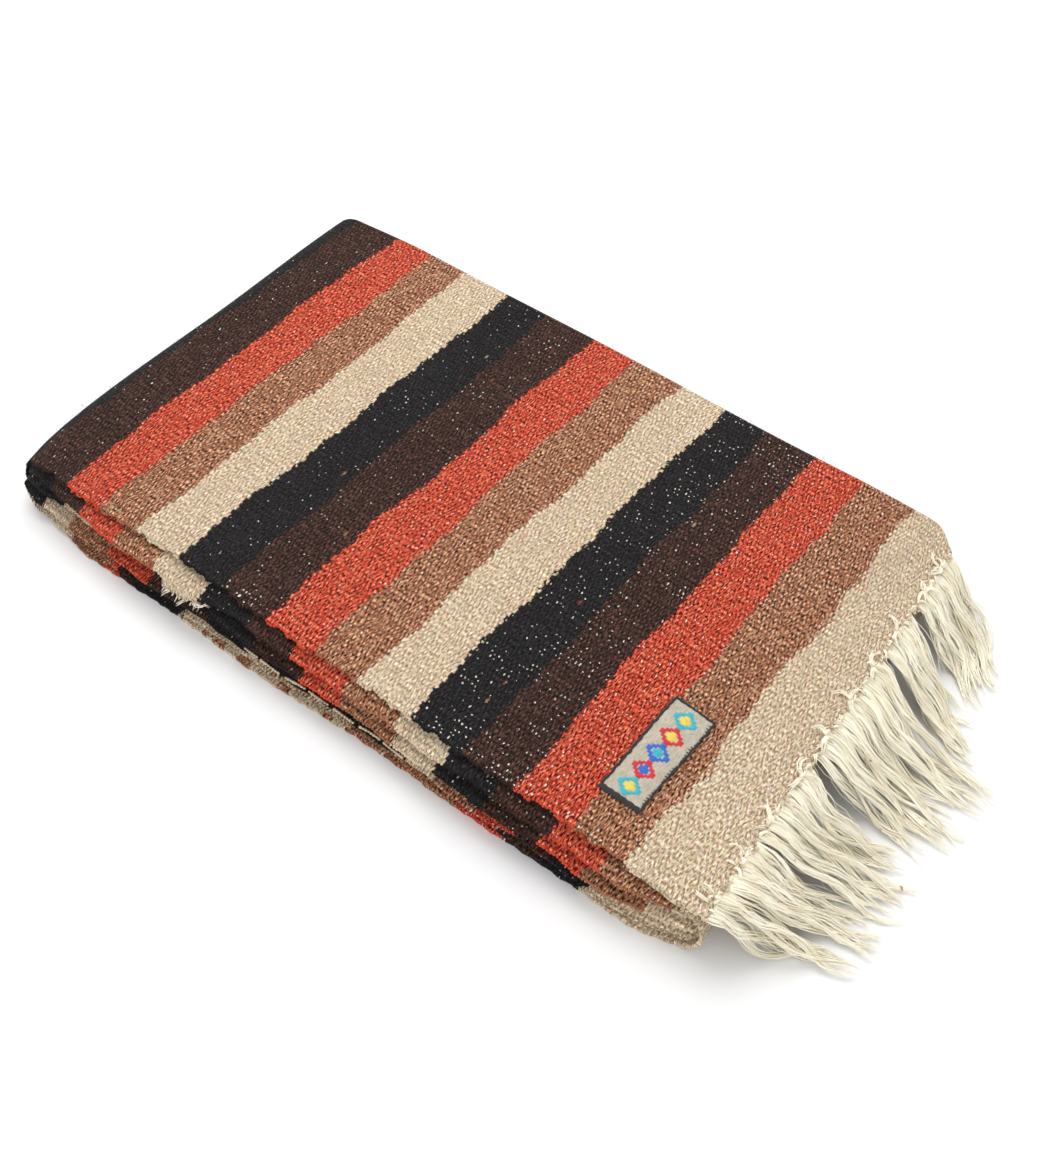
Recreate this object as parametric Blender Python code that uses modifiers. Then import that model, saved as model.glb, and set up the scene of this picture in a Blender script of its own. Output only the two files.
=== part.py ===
"""A striped handwoven blanket, folded in thirds across and in thirds along, lying flat.

The blanket is about 1.27 m wide and 1.9 m long. It is folded in thirds across its width first,
then in thirds along its length, so that nine plies lie on each other. One end's fringe shows on
top at +X, and the long fold at -X is the outer one. The near side is -Y.
Metres, +Z up. The origin is the middle of the flat underside, on the surface it rests on.
"""
import math

import bmesh
import bpy
from mathutils import Vector

# Driving dimensions of the folded stack
STACK_HEIGHT = 0.054
CLOTH = 0.003
GAP = 0.0003
SOFT_GAP = 0.0006
LEFT_X = -0.3735
TOP_END_X = 0.3195
RIGHT_FOLD_X = 0.3225
SELVEDGE_Y = -0.211
FAR_Y = 0.2165

# The two long folds: the left one wraps the whole stack, the right one lies under the fringe
LEFT_RADIUS = STACK_HEIGHT / 2
RIGHT_RADIUS = 0.0238
LEFT_CENTRE_X = LEFT_X + LEFT_RADIUS
RIGHT_CENTRE_X = RIGHT_FOLD_X - RIGHT_RADIUS
TUCKED_LENGTH = 0.030
# How far the outer ply's near edge stands out past the top one, underneath and at the right fold
UNDER_OVERHANG = 0.018
RIGHT_OVERHANG = 0.014

# The fold along the far side, where the outer ply turns back under itself
FAR_FOLD_RADIUS = 0.006
FAR_FOLD_Y = FAR_Y - FAR_FOLD_RADIUS
TURNED_END_Y = FAR_FOLD_Y - 0.002

# How the real stack departs from a square one, seen from above
LEFT_CORNER_PULL = 0.018
LEFT_FAR_PUSH = 0.006
END_SLANT = 0.055
FAR_CORNER_PULL = 0.006
NEAR_WAVE = 0.0010
NEAR_WAVE_TURN = 31

# How its height departs from an even one, as shares of the height
NEAR_DROOP = 0.035
CORNER_DROOP = 0.06
SWELLS = [
    # share, turn_x, turn_y (radians per metre), phase
    (0.009, 14, 11, 0.4),
    (0.009, 14, -11, 0.4),
    (0.014, 19, 9, 0.0),
]

# How many steps each stretch has
RUN_STEPS = 18
ACROSS_STEPS = 11
FOLD_STEPS = 9
FAR_FOLD_STEPS = 5

# The near edges of the inner plies, from the top down: each is a rounded fold.
# lowest is the height of its lower groove, and reach is how far out it stands,
# left of the inner end and right of it.
NEAR_LAYERS = [
    # lowest, reach_left, reach_right
    (0.0385, 0.2165, 0.2180),
    (0.0245, 0.2200, 0.2285),
    (0.0125, 0.2290, 0.2270),
    (0.0036, 0.2270, 0.2255),
]
NEAR_GROOVE = 0.2100
# The far edges of the inner plies, from the top down, between the outer ply's two turned edges
FAR_LAYERS = [
    # highest, reach
    (0.0405, 0.2100),
    (0.0365, 0.2160),
    (0.0240, 0.2110),
]
FAR_GROOVE = 0.2035
# The other end of the blanket lies between the plies, and a scrap of it shows on the near side
INNER_END_X = -0.143
INNER_END_BLEND = 0.0185
INNER_END_LEFT = -0.174
INNER_END_RIGHT = -0.136
INNER_STRIP = [
    # outward, height
    (0.0003, 0.0290),
    (0.0027, 0.0290),
    (0.0023, 0.0365),
    (0.0003, 0.0345),
]
INNER_STRAND_LEAN = (-0.35, -1.05, -0.85)

# The woven label, sewn flat near the fringe: it runs across the blanket
LABEL_LENGTH = 0.100
LABEL_WIDTH = 0.035
LABEL_X = 0.233
LABEL_Y = -0.125
LABEL_THICKNESS = 0.0008
LABEL_SIDE = 0.0022
LABEL_END = 0.0045
LABEL_GAP = 0.0005

# The fringe: strands grow from a narrow strip at the top ply's end
STRAND_COUNT = 96
STRANDS_IN_TUFT = 4
STRIP_DEPTH = 0.0035
STRIP_HEIGHT = 0.0026
STRAND_WIDTH_SHARE = 0.62
STRAND_RINGS = (0.12, 0.28, 0.46, 0.68, 1.0)
FLOOR_CLEARANCE = 0.0022
FRINGE_FALL = [
    # y, heading in degrees, reach, share of the reach at which the strand lands
    (-0.210, 20, 0.068, 0.62),
    (-0.140, 0, 0.104, 0.62),
    (-0.030, -10, 0.113, 0.62),
    (0.080, -18, 0.113, 0.64),
    (0.140, -27, 0.090, 0.74),
    (0.210, -38, 0.088, 0.82),
]
INNER_STRAND_COUNT = 9


def smooth(low, high, value):
    """0 below low, 1 above high, and an S-curve between them."""
    share = min(max((value - low) / (high - low), 0.0), 1.0)
    return share * share * (3 - 2 * share)


def place(x, y, z):
    """Bend the straight stack into its real plan and its slightly uneven height."""
    leftness = smooth(-0.25, -0.345, x)
    farness = smooth(0.10, 0.21, y)
    corner_pull = LEFT_CORNER_PULL * (max(0.0, -y) / -SELVEDGE_Y) ** 4
    far_push = LEFT_FAR_PUSH * smooth(0.0, 0.20, y)
    along = leftness * (corner_pull - far_push) - END_SLANT * y * smooth(0.25, 0.32, x)
    across = -FAR_CORNER_PULL * farness * (smooth(0.22, 0.33, x) + smooth(-0.27, -0.37, x))
    across += NEAR_WAVE * math.sin(NEAR_WAVE_TURN * x + 0.6) * smooth(-0.10, -0.21, y)
    height = 1 - NEAR_DROOP * smooth(-0.185, -0.215, y)
    height -= CORNER_DROOP * smooth(0.25, 0.325, x) * smooth(0.08, 0.21, y)
    for share, turn_x, turn_y, phase in SWELLS:
        height += share * math.sin(turn_x * x + turn_y * y + phase)
    return Vector((x + along, y + across, z * height))


def top_height(x):
    """The top ply sinks a little where it lies over the right fold."""
    return STACK_HEIGHT - (STACK_HEIGHT - 2 * RIGHT_RADIUS - CLOTH - SOFT_GAP) * smooth(0.20, 0.285, x)


def run_stations():
    """The x of each section of the straight runs, from the right to the left."""
    length = TOP_END_X - LEFT_CENTRE_X
    return [TOP_END_X - length * step / RUN_STEPS for step in range(RUN_STEPS + 1)]


def arc(centre_x, radius, start, end, steps):
    """Stations round a fold: the point on its outside, and the way inwards."""
    stations = []
    for step in range(steps + 1):
        angle = math.radians(start + (end - start) * step / steps)
        across, up = math.cos(angle), math.sin(angle)
        stations.append((centre_x + radius * across, radius + radius * up, -across, -up))
    return stations


def outer_path():
    """The outer ply's way in side view: top, left fold, underside, right fold, tucked end."""
    top = [(x, top_height(x), 0.0, -1.0) for x in run_stations()]
    left = arc(LEFT_CENTRE_X, LEFT_RADIUS, 90, 270, FOLD_STEPS)
    under = [(x, 0.0, 0.0, 1.0) for x in reversed(run_stations()) if x < RIGHT_CENTRE_X]
    right = arc(RIGHT_CENTRE_X, RIGHT_RADIUS, -90, 90, FOLD_STEPS)
    tucked = [(RIGHT_CENTRE_X - TUCKED_LENGTH, 2 * RIGHT_RADIUS, 0.0, -1.0)]
    return top + left[1:] + under[1:] + right + tucked


def overhang(x, z):
    """How far the near edge of the outer ply stands out: the lower, the further."""
    lowness = 1 - smooth(0.0, 0.75 * STACK_HEIGHT, z)
    cornering = (1 - 0.7 * smooth(-0.27, -0.36, x)) * (1 - 0.8 * smooth(0.27, 0.32, x))
    along = UNDER_OVERHANG + (RIGHT_OVERHANG - UNDER_OVERHANG) * smooth(-0.10, 0.12, x)
    return along * lowness * cornering


def across_stations(near_overhang=0.0):
    """The y of each section across the flat of a ply, from the near selvedge to the far fold."""
    width = FAR_FOLD_Y - SELVEDGE_Y
    edge = [SELVEDGE_Y - near_overhang, SELVEDGE_Y + 0.014]
    return edge + [SELVEDGE_Y + width * step / ACROSS_STEPS for step in range(1, ACROSS_STEPS + 1)]


def outer_cross_curve(near_overhang):
    """(y, depth below the outside) across the outer ply, with its far edge turned under."""
    curve = [(y, 0.0) for y in across_stations(near_overhang)]
    for step in range(1, FAR_FOLD_STEPS + 1):
        angle = math.pi * step / FAR_FOLD_STEPS
        y = FAR_FOLD_Y + FAR_FOLD_RADIUS * math.sin(angle)
        curve.append((y, FAR_FOLD_RADIUS * (1 - math.cos(angle))))
    curve.append((TURNED_END_Y, 2 * FAR_FOLD_RADIUS))
    return curve


def cap_loops(count, first_flat, flat_count):
    """Split a section's outline into its near end, strips across the flats, and its far end."""
    if flat_count == 0:
        return [list(range(count))]
    last_flat = first_flat + flat_count - 1
    loops = [[count - 1] + list(range(first_flat + 1))]
    for step in range(flat_count - 1):
        under, over = first_flat + step, count - 1 - step
        loops.append([under, under + 1, over - 1, over])
    loops.append(list(range(last_flat, count - flat_count + 1)))
    return loops


def lofted_mesh(name, rows, closed=False, first_flat=0, flat_count=0):
    """Skin rows of points. closed joins each row's ends and caps the first and last rows."""
    shape = bmesh.new()
    grid = [[shape.verts.new(point) for point in row] for row in rows]
    count = len(rows[0])
    for lower, upper in zip(grid, grid[1:]):
        for index in range(count if closed else count - 1):
            following = (index + 1) % count
            shape.faces.new((lower[index], lower[following], upper[following], upper[index]))
    if closed:
        for loop in cap_loops(count, first_flat, flat_count):
            shape.faces.new([grid[0][index] for index in reversed(loop)])
            shape.faces.new([grid[-1][index] for index in loop])
    bmesh.ops.recalc_face_normals(shape, faces=shape.faces)
    mesh = bpy.data.meshes.new(name)
    shape.to_mesh(mesh)
    shape.free()
    return mesh


def add_object(name, mesh, material, collection):
    """Put a mesh in the scene with its material, shaded smooth but for sharp edges."""
    mesh.materials.append(material)
    mesh.shade_smooth()
    mesh.set_sharp_from_angle(angle=math.radians(40))
    piece = bpy.data.objects.new(name, mesh)
    collection.objects.link(piece)
    return piece


def fabric(name, color, roughness):
    """A plain cloth material."""
    material = bpy.data.materials.new(name)
    material.use_nodes = True
    shader = material.node_tree.nodes["Principled BSDF"]
    shader.inputs["Base Color"].default_value = (*color, 1.0)
    shader.inputs["Roughness"].default_value = roughness
    shader.inputs["Metallic"].default_value = 0.0
    return material


def thicken(piece, thickness):
    """Give an open sheet its wall, on its inner side."""
    wall = piece.modifiers.new("wall", "SOLIDIFY")
    wall.thickness = thickness
    wall.offset = -1
    wall.use_even_offset = True


def make_outer_cloth(material, collection):
    """The outer ply: over the top, round the left fold, underneath and round the right fold."""
    rows = []
    for x, z, inward_x, inward_z in outer_path():
        curve = outer_cross_curve(overhang(x, z))
        rows.append([place(x + inward_x * depth, y, z + inward_z * depth) for y, depth in curve])
    piece = add_object("outer_cloth", lofted_mesh("outer_cloth", rows), material, collection)
    thicken(piece, CLOTH)
    return piece


def near_reach(layer, x):
    """How far out a near layer stands at x: it changes where the inner end lies."""
    share = (x - INNER_END_X + INNER_END_BLEND) / (2 * INNER_END_BLEND)
    share = min(max(share, 0.0), 1.0)
    _, reach_left, reach_right = NEAR_LAYERS[layer]
    return reach_left + (reach_right - reach_left) * share


def near_profile(x):
    """(y, height share) down the near side of the inner plies: a row of rounded folds."""
    top = STACK_HEIGHT - CLOTH
    profile = []
    for layer, (lowest, _, _) in enumerate(NEAR_LAYERS):
        reach = near_reach(layer, x)
        for turn in (0.0, 0.14, 0.5, 0.86):
            bulge = math.sin(math.pi * turn) ** 0.6
            y = -(NEAR_GROOVE + (reach - NEAR_GROOVE) * bulge)
            profile.append((y, top + (lowest - top) * turn))
        top = lowest - 0.0002
    profile.append((-NEAR_GROOVE, NEAR_LAYERS[-1][0]))
    return profile


def far_profile(fullness):
    """(y, height) up the far side of the inner plies, between the outer ply's turned edges."""
    turned_edge = 2 * FAR_FOLD_RADIUS + SOFT_GAP
    set_back = TURNED_END_Y - 2 * SOFT_GAP
    profile = [(set_back, CLOTH + SOFT_GAP)]
    bottom = turned_edge
    for highest, reach in reversed(FAR_LAYERS):
        profile.append((FAR_GROOVE, bottom))
        for turn in (0.2, 0.8):
            y = FAR_GROOVE + (reach - FAR_GROOVE) * fullness
            profile.append((y, bottom + (highest - bottom) * turn))
        bottom = highest
    profile.append((FAR_GROOVE, bottom))
    profile.append((set_back, STACK_HEIGHT - CLOTH))
    return profile


def flat_stations():
    """The y of the points over and under the inner plies, clear of their rounded edges."""
    return [y for y in across_stations() if SELVEDGE_Y + 0.02 < y < FAR_FOLD_Y - 0.02]


def core_section(x, low, high, reach_in, fullness):
    """One closed section of the inner plies at x, squeezed between the heights low and high."""
    full_low, full_high = CLOTH + SOFT_GAP, STACK_HEIGHT - CLOTH - SOFT_GAP
    points = []

    def fitted(height):
        share = (min(max(height, full_low), full_high) - full_low) / (full_high - full_low)
        return low + (high - low) * share

    right_in = 0.013 * smooth(0.25, 0.32, x)
    for y, height in near_profile(x):
        points.append(place(x, y + reach_in + right_in, fitted(height)))
    flat = flat_stations()
    points += [place(x, y, low) for y in flat]
    points += [place(x, y, fitted(height)) for y, height in far_profile(fullness)]
    points += [place(x, y, high) for y in reversed(flat)]
    return points


def make_folded_layers(material, collection):
    """The hidden plies as one rounded solid, layered at its near and far edges."""
    inset = CLOTH + SOFT_GAP
    rows = []
    for x, z, inward_x, inward_z in reversed(arc(RIGHT_CENTRE_X, RIGHT_RADIUS, 10, 90, 4)[:-1]):
        half = (RIGHT_RADIUS - inset) * -inward_z
        px = RIGHT_CENTRE_X - (RIGHT_RADIUS - inset) * inward_x
        rows.append(core_section(px, RIGHT_RADIUS - half, RIGHT_RADIUS + half, 0.006 * (1 + inward_z), 0.0))
    rows.reverse()
    for x in run_stations():
        if x <= RIGHT_CENTRE_X:
            stepped = min(top_height(x) - inset, STACK_HEIGHT - inset)
            tucked_top = 2 * RIGHT_RADIUS - inset
            share = smooth(RIGHT_CENTRE_X - 0.100, RIGHT_CENTRE_X - TUCKED_LENGTH - 0.024, x)
            fullness = 1.0 if share == 0 and x > LEFT_CENTRE_X + 0.01 else 0.0
            rows.append(core_section(x, inset, stepped + (tucked_top - stepped) * share, 0.0, fullness))
    for x, z, inward_x, inward_z in arc(LEFT_CENTRE_X, LEFT_RADIUS, 90, 170, 4)[1:]:
        half = (LEFT_RADIUS - inset) * -inward_z
        px = LEFT_CENTRE_X - (LEFT_RADIUS - inset) * inward_x
        rows.append(core_section(px, LEFT_RADIUS - half, LEFT_RADIUS + half, 0.006 * (1 + inward_z), 0.0))
    mesh = lofted_mesh("folded_layers", rows, True, len(near_profile(0.0)), len(flat_stations()))
    return add_object("folded_layers", mesh, material, collection)


def grow_strand(shape, face, ring_points):
    """Extrude a face of the strip into a strand that follows ring_points, with its width there."""
    start = face.calc_center_median()
    offsets = [vert.co - start for vert in face.verts]
    previous = start
    for centre, scale in ring_points:
        face = bmesh.ops.extrude_discrete_faces(shape, faces=[face])["faces"][0]
        ahead = (centre - previous).normalized()
        side = Vector((0, 0, 1)).cross(ahead).normalized()
        up = ahead.cross(side)
        for vert, offset in zip(face.verts, offsets):
            vert.co = centre + (side * offset.y + up * offset.z) * scale
        previous = centre


def fringe_fall(y):
    """The heading, reach and landing of a strand whose root is at y, between the table's rows."""
    for lower, upper in zip(FRINGE_FALL, FRINGE_FALL[1:]):
        if y <= upper[0]:
            break
    share = (y - lower[0]) / (upper[0] - lower[0])
    return [low + (high - low) * share for low, high in zip(lower[1:], upper[1:])]


def make_fringe(material, collection):
    """The warp ends of the top ply: strands fused into one narrow strip at the cloth's end."""
    first_y, last_y = SELVEDGE_Y + 0.001, FAR_FOLD_Y
    pitch = (last_y - first_y) / STRAND_COUNT
    low_x, high_x = TOP_END_X + GAP, TOP_END_X + GAP + STRIP_DEPTH
    middle = top_height(TOP_END_X) - CLOTH / 2
    low_z, high_z = middle - STRIP_HEIGHT / 2, middle + STRIP_HEIGHT / 2
    edges = [first_y]
    for strand in range(STRAND_COUNT):
        centre = first_y + pitch * (strand + 0.5)
        edges += [centre - pitch * STRAND_WIDTH_SHARE / 2, centre + pitch * STRAND_WIDTH_SHARE / 2]
    edges.append(last_y)
    rows = []
    for y in edges:
        corners = ((low_x, low_z), (high_x, low_z), (high_x, high_z), (low_x, high_z))
        rows.append([place(x, y, z) for x, z in corners])
    mesh = lofted_mesh("fringe", rows, True)
    shape = bmesh.new()
    shape.from_mesh(mesh)
    front = [face for face in shape.faces if face.normal.x > 0.7]
    front.sort(key=lambda face: face.calc_center_median().y)
    for strand, face in enumerate(front[1::2]):
        start = face.calc_center_median()
        tuft = strand // STRANDS_IN_TUFT
        within = strand % STRANDS_IN_TUFT - (STRANDS_IN_TUFT - 1) / 2
        turn, reach, landing = fringe_fall(start.y)
        heading = math.radians(turn + 4 * math.sin(2.3 * tuft) + 1.3 * within)
        reach += 0.009 * math.sin(1.7 * tuft + 0.5) + 0.002 * math.sin(5 * strand)
        landing += 0.05 * math.sin(3.1 * tuft)
        rings = []
        for share in STRAND_RINGS:
            fall = smooth(0.02, landing, share)
            z = start.z + (FLOOR_CLEARANCE - start.z) * fall + 0.0006 * math.sin(2 * strand) * fall
            out = reach * share
            centre = Vector((start.x + out * math.cos(heading), start.y + out * math.sin(heading), z))
            rings.append((centre, 0.9 - 0.45 * share))
        grow_strand(shape, face, rings)
    shape.to_mesh(mesh)
    shape.free()
    return add_object("fringe", mesh, material, collection)


def make_inner_end(material, collection):
    """The other end of the blanket, tucked inside: a scrap of its edge shows on the near side."""
    pitch = (INNER_END_RIGHT - INNER_END_LEFT) / INNER_STRAND_COUNT
    edges = [INNER_END_LEFT]
    for strand in range(INNER_STRAND_COUNT):
        centre = INNER_END_LEFT + pitch * (strand + 0.5)
        edges += [centre - pitch * 0.33, centre + pitch * 0.33]
    edges.append(INNER_END_RIGHT)
    rows = [[place(x, -near_reach(1, x) - out, z) for out, z in INNER_STRIP] for x in edges]
    mesh = lofted_mesh("inner_end", rows, True)
    shape = bmesh.new()
    shape.from_mesh(mesh)
    lower = [face for face in shape.faces if face.normal.z < -0.6]
    lower.sort(key=lambda face: face.calc_center_median().x)
    for strand, face in enumerate(lower[1::2]):
        start = face.calc_center_median()
        length = 0.010 + 0.002 * math.sin(2.1 * strand)
        way = Vector(INNER_STRAND_LEAN) + Vector((0.12 * math.sin(1.3 * strand), 0, 0))
        offsets = [vert.co - start for vert in face.verts]
        for share in (0.5, 1.0):
            face = bmesh.ops.extrude_discrete_faces(shape, faces=[face])["faces"][0]
            for vert, offset in zip(face.verts, offsets):
                vert.co = start + way * length * share + offset * (1 - 0.55 * share)
    shape.to_mesh(mesh)
    shape.free()
    return add_object("inner_end", mesh, material, collection)


def label_rows(xs, ys):
    """Points over the top ply, where the label lies."""
    lift = LABEL_GAP + LABEL_THICKNESS
    return [[place(x, y, top_height(x)) + Vector((0, 0, lift)) for x in xs] for y in ys]


def make_label(face_material, border_material, collection):
    """The woven label: a light face inside a dark bound edge, broader at the near end."""
    left, right = LABEL_X - LABEL_WIDTH / 2, LABEL_X + LABEL_WIDTH / 2
    near, far = LABEL_Y - LABEL_LENGTH / 2, LABEL_Y + LABEL_LENGTH / 2
    inner_left, inner_right = left + LABEL_SIDE, right - LABEL_SIDE
    inner_near, inner_far = near + LABEL_END, far - LABEL_SIDE
    xs = [inner_left + (inner_right - inner_left) * step / 3 for step in range(4)]
    ys = [inner_near + (inner_far - inner_near) * step / 6 for step in range(7)]
    border = lofted_mesh("label_border", label_rows([left] + xs + [right], [near] + ys + [far]))
    shape = bmesh.new()
    shape.from_mesh(border)
    inside = []
    for face in shape.faces:
        row, column = divmod(face.index, len(xs) + 1)
        if 0 < row < len(ys) and 0 < column < len(xs):
            inside.append(face)
    bmesh.ops.delete(shape, geom=inside, context="FACES")
    shape.to_mesh(border)
    shape.free()
    ring = add_object("label_border", border, border_material, collection)
    face_xs = [inner_left + GAP + (inner_right - inner_left - 2 * GAP) * step / 3 for step in range(4)]
    face_ys = [inner_near + GAP + (inner_far - inner_near - 2 * GAP) * step / 6 for step in range(7)]
    face_mesh = lofted_mesh("label_face", label_rows(face_xs, face_ys))
    panel = add_object("label_face", face_mesh, face_material, collection)
    for piece in (ring, panel):
        if piece.data.polygons[0].normal.z < 0:
            piece.data.flip_normals()
        thicken(piece, LABEL_THICKNESS)


def main():
    for existing in list(bpy.data.objects):
        bpy.data.objects.remove(existing, do_unlink=True)
    collection = bpy.data.collections.new("folded_striped_blanket")
    bpy.context.scene.collection.children.link(collection)
    make_outer_cloth(fabric("woven_stripes", (0.45, 0.09, 0.045), 0.95), collection)
    make_folded_layers(fabric("woven_stripes_inner", (0.30, 0.17, 0.11), 0.95), collection)
    make_fringe(fabric("warp_ends", (0.72, 0.68, 0.58), 0.9), collection)
    make_inner_end(fabric("warp_ends_inner", (0.70, 0.60, 0.42), 0.9), collection)
    make_label(
        fabric("label_ribbon", (0.41, 0.35, 0.27), 0.8),
        fabric("label_binding", (0.02, 0.02, 0.022), 0.85),
        collection,
    )


main()
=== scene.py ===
"""A handwoven striped blanket, folded in thirds both ways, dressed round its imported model."""
import math

import bmesh
import bpy
import numpy as np
from mathutils import Matrix, Vector


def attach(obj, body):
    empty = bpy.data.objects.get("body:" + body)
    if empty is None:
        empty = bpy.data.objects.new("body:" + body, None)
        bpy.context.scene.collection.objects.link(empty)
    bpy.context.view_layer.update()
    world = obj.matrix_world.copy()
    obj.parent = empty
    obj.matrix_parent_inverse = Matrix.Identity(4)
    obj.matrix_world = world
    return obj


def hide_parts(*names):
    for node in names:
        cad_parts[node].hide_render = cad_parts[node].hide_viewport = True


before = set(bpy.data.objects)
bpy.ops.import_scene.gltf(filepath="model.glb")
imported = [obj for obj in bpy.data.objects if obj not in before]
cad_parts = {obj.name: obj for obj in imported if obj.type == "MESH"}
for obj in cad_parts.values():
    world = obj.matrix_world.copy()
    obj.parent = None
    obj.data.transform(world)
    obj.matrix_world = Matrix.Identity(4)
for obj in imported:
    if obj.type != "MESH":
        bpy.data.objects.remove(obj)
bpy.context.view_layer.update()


# The camera, where the photograph was taken from: above the near right corner, turned a little.
# The picture is 1044 by 1176 pixels, and the lens is given by its focal length in those pixels.

CAMERA_PLACE = (0.5014, -0.6809, 0.9599)
CAMERA_AZIMUTH = math.radians(35.4865)
CAMERA_ELEVATION = math.radians(50.0582)
CAMERA_ROLL = math.radians(2.9305)
PICTURE_HEIGHT = 1176
FOCAL_PIXELS = 1500
SENSOR_MM = 36

back = Vector((
    math.sin(CAMERA_AZIMUTH) * math.cos(CAMERA_ELEVATION),
    -math.cos(CAMERA_AZIMUTH) * math.cos(CAMERA_ELEVATION),
    math.sin(CAMERA_ELEVATION),
))
level = Vector((math.cos(CAMERA_AZIMUTH), math.sin(CAMERA_AZIMUTH), 0))
upright = back.cross(level)
rightward = math.cos(CAMERA_ROLL) * level + math.sin(CAMERA_ROLL) * upright
upward = math.cos(CAMERA_ROLL) * upright - math.sin(CAMERA_ROLL) * level
camera_data = bpy.data.cameras.new("camera")
camera_data.sensor_width = SENSOR_MM
camera_data.lens = FOCAL_PIXELS / PICTURE_HEIGHT * SENSOR_MM
camera_data.clip_start = 0.01
camera = bpy.data.objects.new("camera", camera_data)
turned = Matrix((rightward, upward, back)).transposed().to_4x4()
camera.matrix_world = Matrix.Translation(CAMERA_PLACE) @ turned
bpy.context.scene.collection.objects.link(camera)
bpy.context.scene.camera = camera
bpy.context.scene.view_settings.view_transform = "Standard"


# The floor and the light: a plain pale floor under a white sky, with one broad soft lamp above
# the far left side and a weaker one in front, as in a small studio.

FLOOR_SPAN = 12
FLOOR_COLOR = (0.86, 0.86, 0.86)
SKY_STRENGTH = 0.85
LAMPS = [
    # name, place, aims at, width, power
    ("lamp_above", (-0.7, 0.5, 1.9), (0.0, 0.0, 0.0), 1.5, 26),
    ("lamp_front", (1.3, -1.8, 1.3), (0.0, 0.0, 0.0), 1.6, 7),
]

floor_mesh = bpy.data.meshes.new("floor")
half_floor = FLOOR_SPAN / 2
floor_corners = [(x, y, 0) for x, y in ((-1, -1), (1, -1), (1, 1), (-1, 1))]
floor_mesh.from_pydata([Vector(corner) * half_floor for corner in floor_corners], [], [(0, 1, 2, 3)])
floor = bpy.data.objects.new("floor", floor_mesh)
bpy.context.scene.collection.objects.link(floor)
floor_paint = bpy.data.materials.new("floor_paint")
floor_paint.use_nodes = True
floor_paint.node_tree.nodes["Principled BSDF"].inputs["Base Color"].default_value = (*FLOOR_COLOR, 1)
floor_paint.node_tree.nodes["Principled BSDF"].inputs["Roughness"].default_value = 0.8
floor_mesh.materials.append(floor_paint)

sky = bpy.data.worlds.new("white_sky")
sky.use_nodes = True
sky.node_tree.nodes["Background"].inputs["Color"].default_value = (1, 1, 1, 1)
sky.node_tree.nodes["Background"].inputs["Strength"].default_value = SKY_STRENGTH
bpy.context.scene.world = sky
for name, lamp_place, lamp_aim, width, power in LAMPS:
    lamp_data = bpy.data.lights.new(name, "AREA")
    lamp_data.size = width
    lamp_data.energy = power
    lamp = bpy.data.objects.new(name, lamp_data)
    aim = Vector(lamp_aim) - Vector(lamp_place)
    lamp.matrix_world = Matrix.Translation(lamp_place) @ aim.to_track_quat("-Z", "Y").to_matrix().to_4x4()
    bpy.context.scene.collection.objects.link(lamp)


# The outer ply: loose plain weave of soft wool and cotton, its thick weft beaten close over thin
# white warps. It lies over the top, turns down round the left fold, runs underneath and turns up
# round the right fold beneath the fringe, and its far edge is folded under.

STACK_HEIGHT = 0.054
CLOTH = 0.003
SOFT_GAP = 0.0006
LEFT_X = -0.3735
TOP_END_X = 0.3195
RIGHT_FOLD_X = 0.3225
SELVEDGE_Y = -0.211
FAR_Y = 0.2165
LEFT_RADIUS = STACK_HEIGHT / 2
RIGHT_RADIUS = 0.0238
LEFT_CENTRE_X = LEFT_X + LEFT_RADIUS
RIGHT_CENTRE_X = RIGHT_FOLD_X - RIGHT_RADIUS
TUCKED_LENGTH = 0.030
UNDER_OVERHANG = 0.018
RIGHT_OVERHANG = 0.014
FAR_FOLD_RADIUS = 0.006
FAR_FOLD_Y = FAR_Y - FAR_FOLD_RADIUS
TURNED_END_Y = FAR_FOLD_Y - 0.002
LEFT_CORNER_PULL = 0.0135
LEFT_FAR_PUSH = 0.006
END_SLANT = 0.055
FAR_CORNER_PULL = 0.006
FAR_CORNER_ROUND = 0.022
NEAR_WAVE = 0.0010
NEAR_WAVE_TURN = 31
NEAR_DROOP = 0.035
CORNER_DROOP = 0.06
SWELLS = [
    # share of the height, turn along x, turn along y, phase
    (0.009, 14, 11, 0.4),
    (0.009, 14, -11, 0.4),
    (0.014, 19, 9, 0.0),
]
RUMPLES = [
    # height, turn along x, turn along y, phase
    (0.0006, 41, 13, 1.0),
    (0.0006, 23, -31, 0.0),
    (0.0004, 67, 29, 2.0),
    (0.0003, 96, -45, 0.6),
]
RUN_STEP = 0.0042
ACROSS_STEPS = 84
CLOSE_ROWS = (0.0, 0.0012, 0.0034, 0.0066)
CLOSE_ROWS_END = 0.0105
FOLD_STEPS = 24
FAR_FOLD_STEPS = 8

# The stripes are numbered along the blanket. A number's remainder by five is its colour: black,
# dark brown, red, tan, cream. A row says where stripe number n begins, at the near and far side.
STRIPE_WIDTH = 0.0478
TOP_STRIPES = [
    # number, x at the near side, x at the far side
    (-5, -0.6390, -0.6390),
    (-4, -0.5910, -0.5910),
    (-3, -0.5430, -0.5430),
    (-2, -0.4950, -0.4950),
    (-1, -0.4470, -0.4470),
    (0, -0.3990, -0.3990),
    (1, -0.3507, -0.3520),
    (2, -0.3028, -0.3057),
    (3, -0.2595, -0.2624),
    (4, -0.2170, -0.2208),
    (5, -0.1707, -0.1688),
    (6, -0.1217, -0.1224),
    (7, -0.0756, -0.0698),
    (8, -0.0243, -0.0240),
    (9, 0.0199, 0.0273),
    (10, 0.0710, 0.0739),
    (11, 0.1238, 0.1189),
    (12, 0.1686, 0.1661),
    (13, 0.2193, 0.2128),
    (14, 0.2641, 0.2614),
    (15, 0.3600, 0.3600),
]
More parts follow.
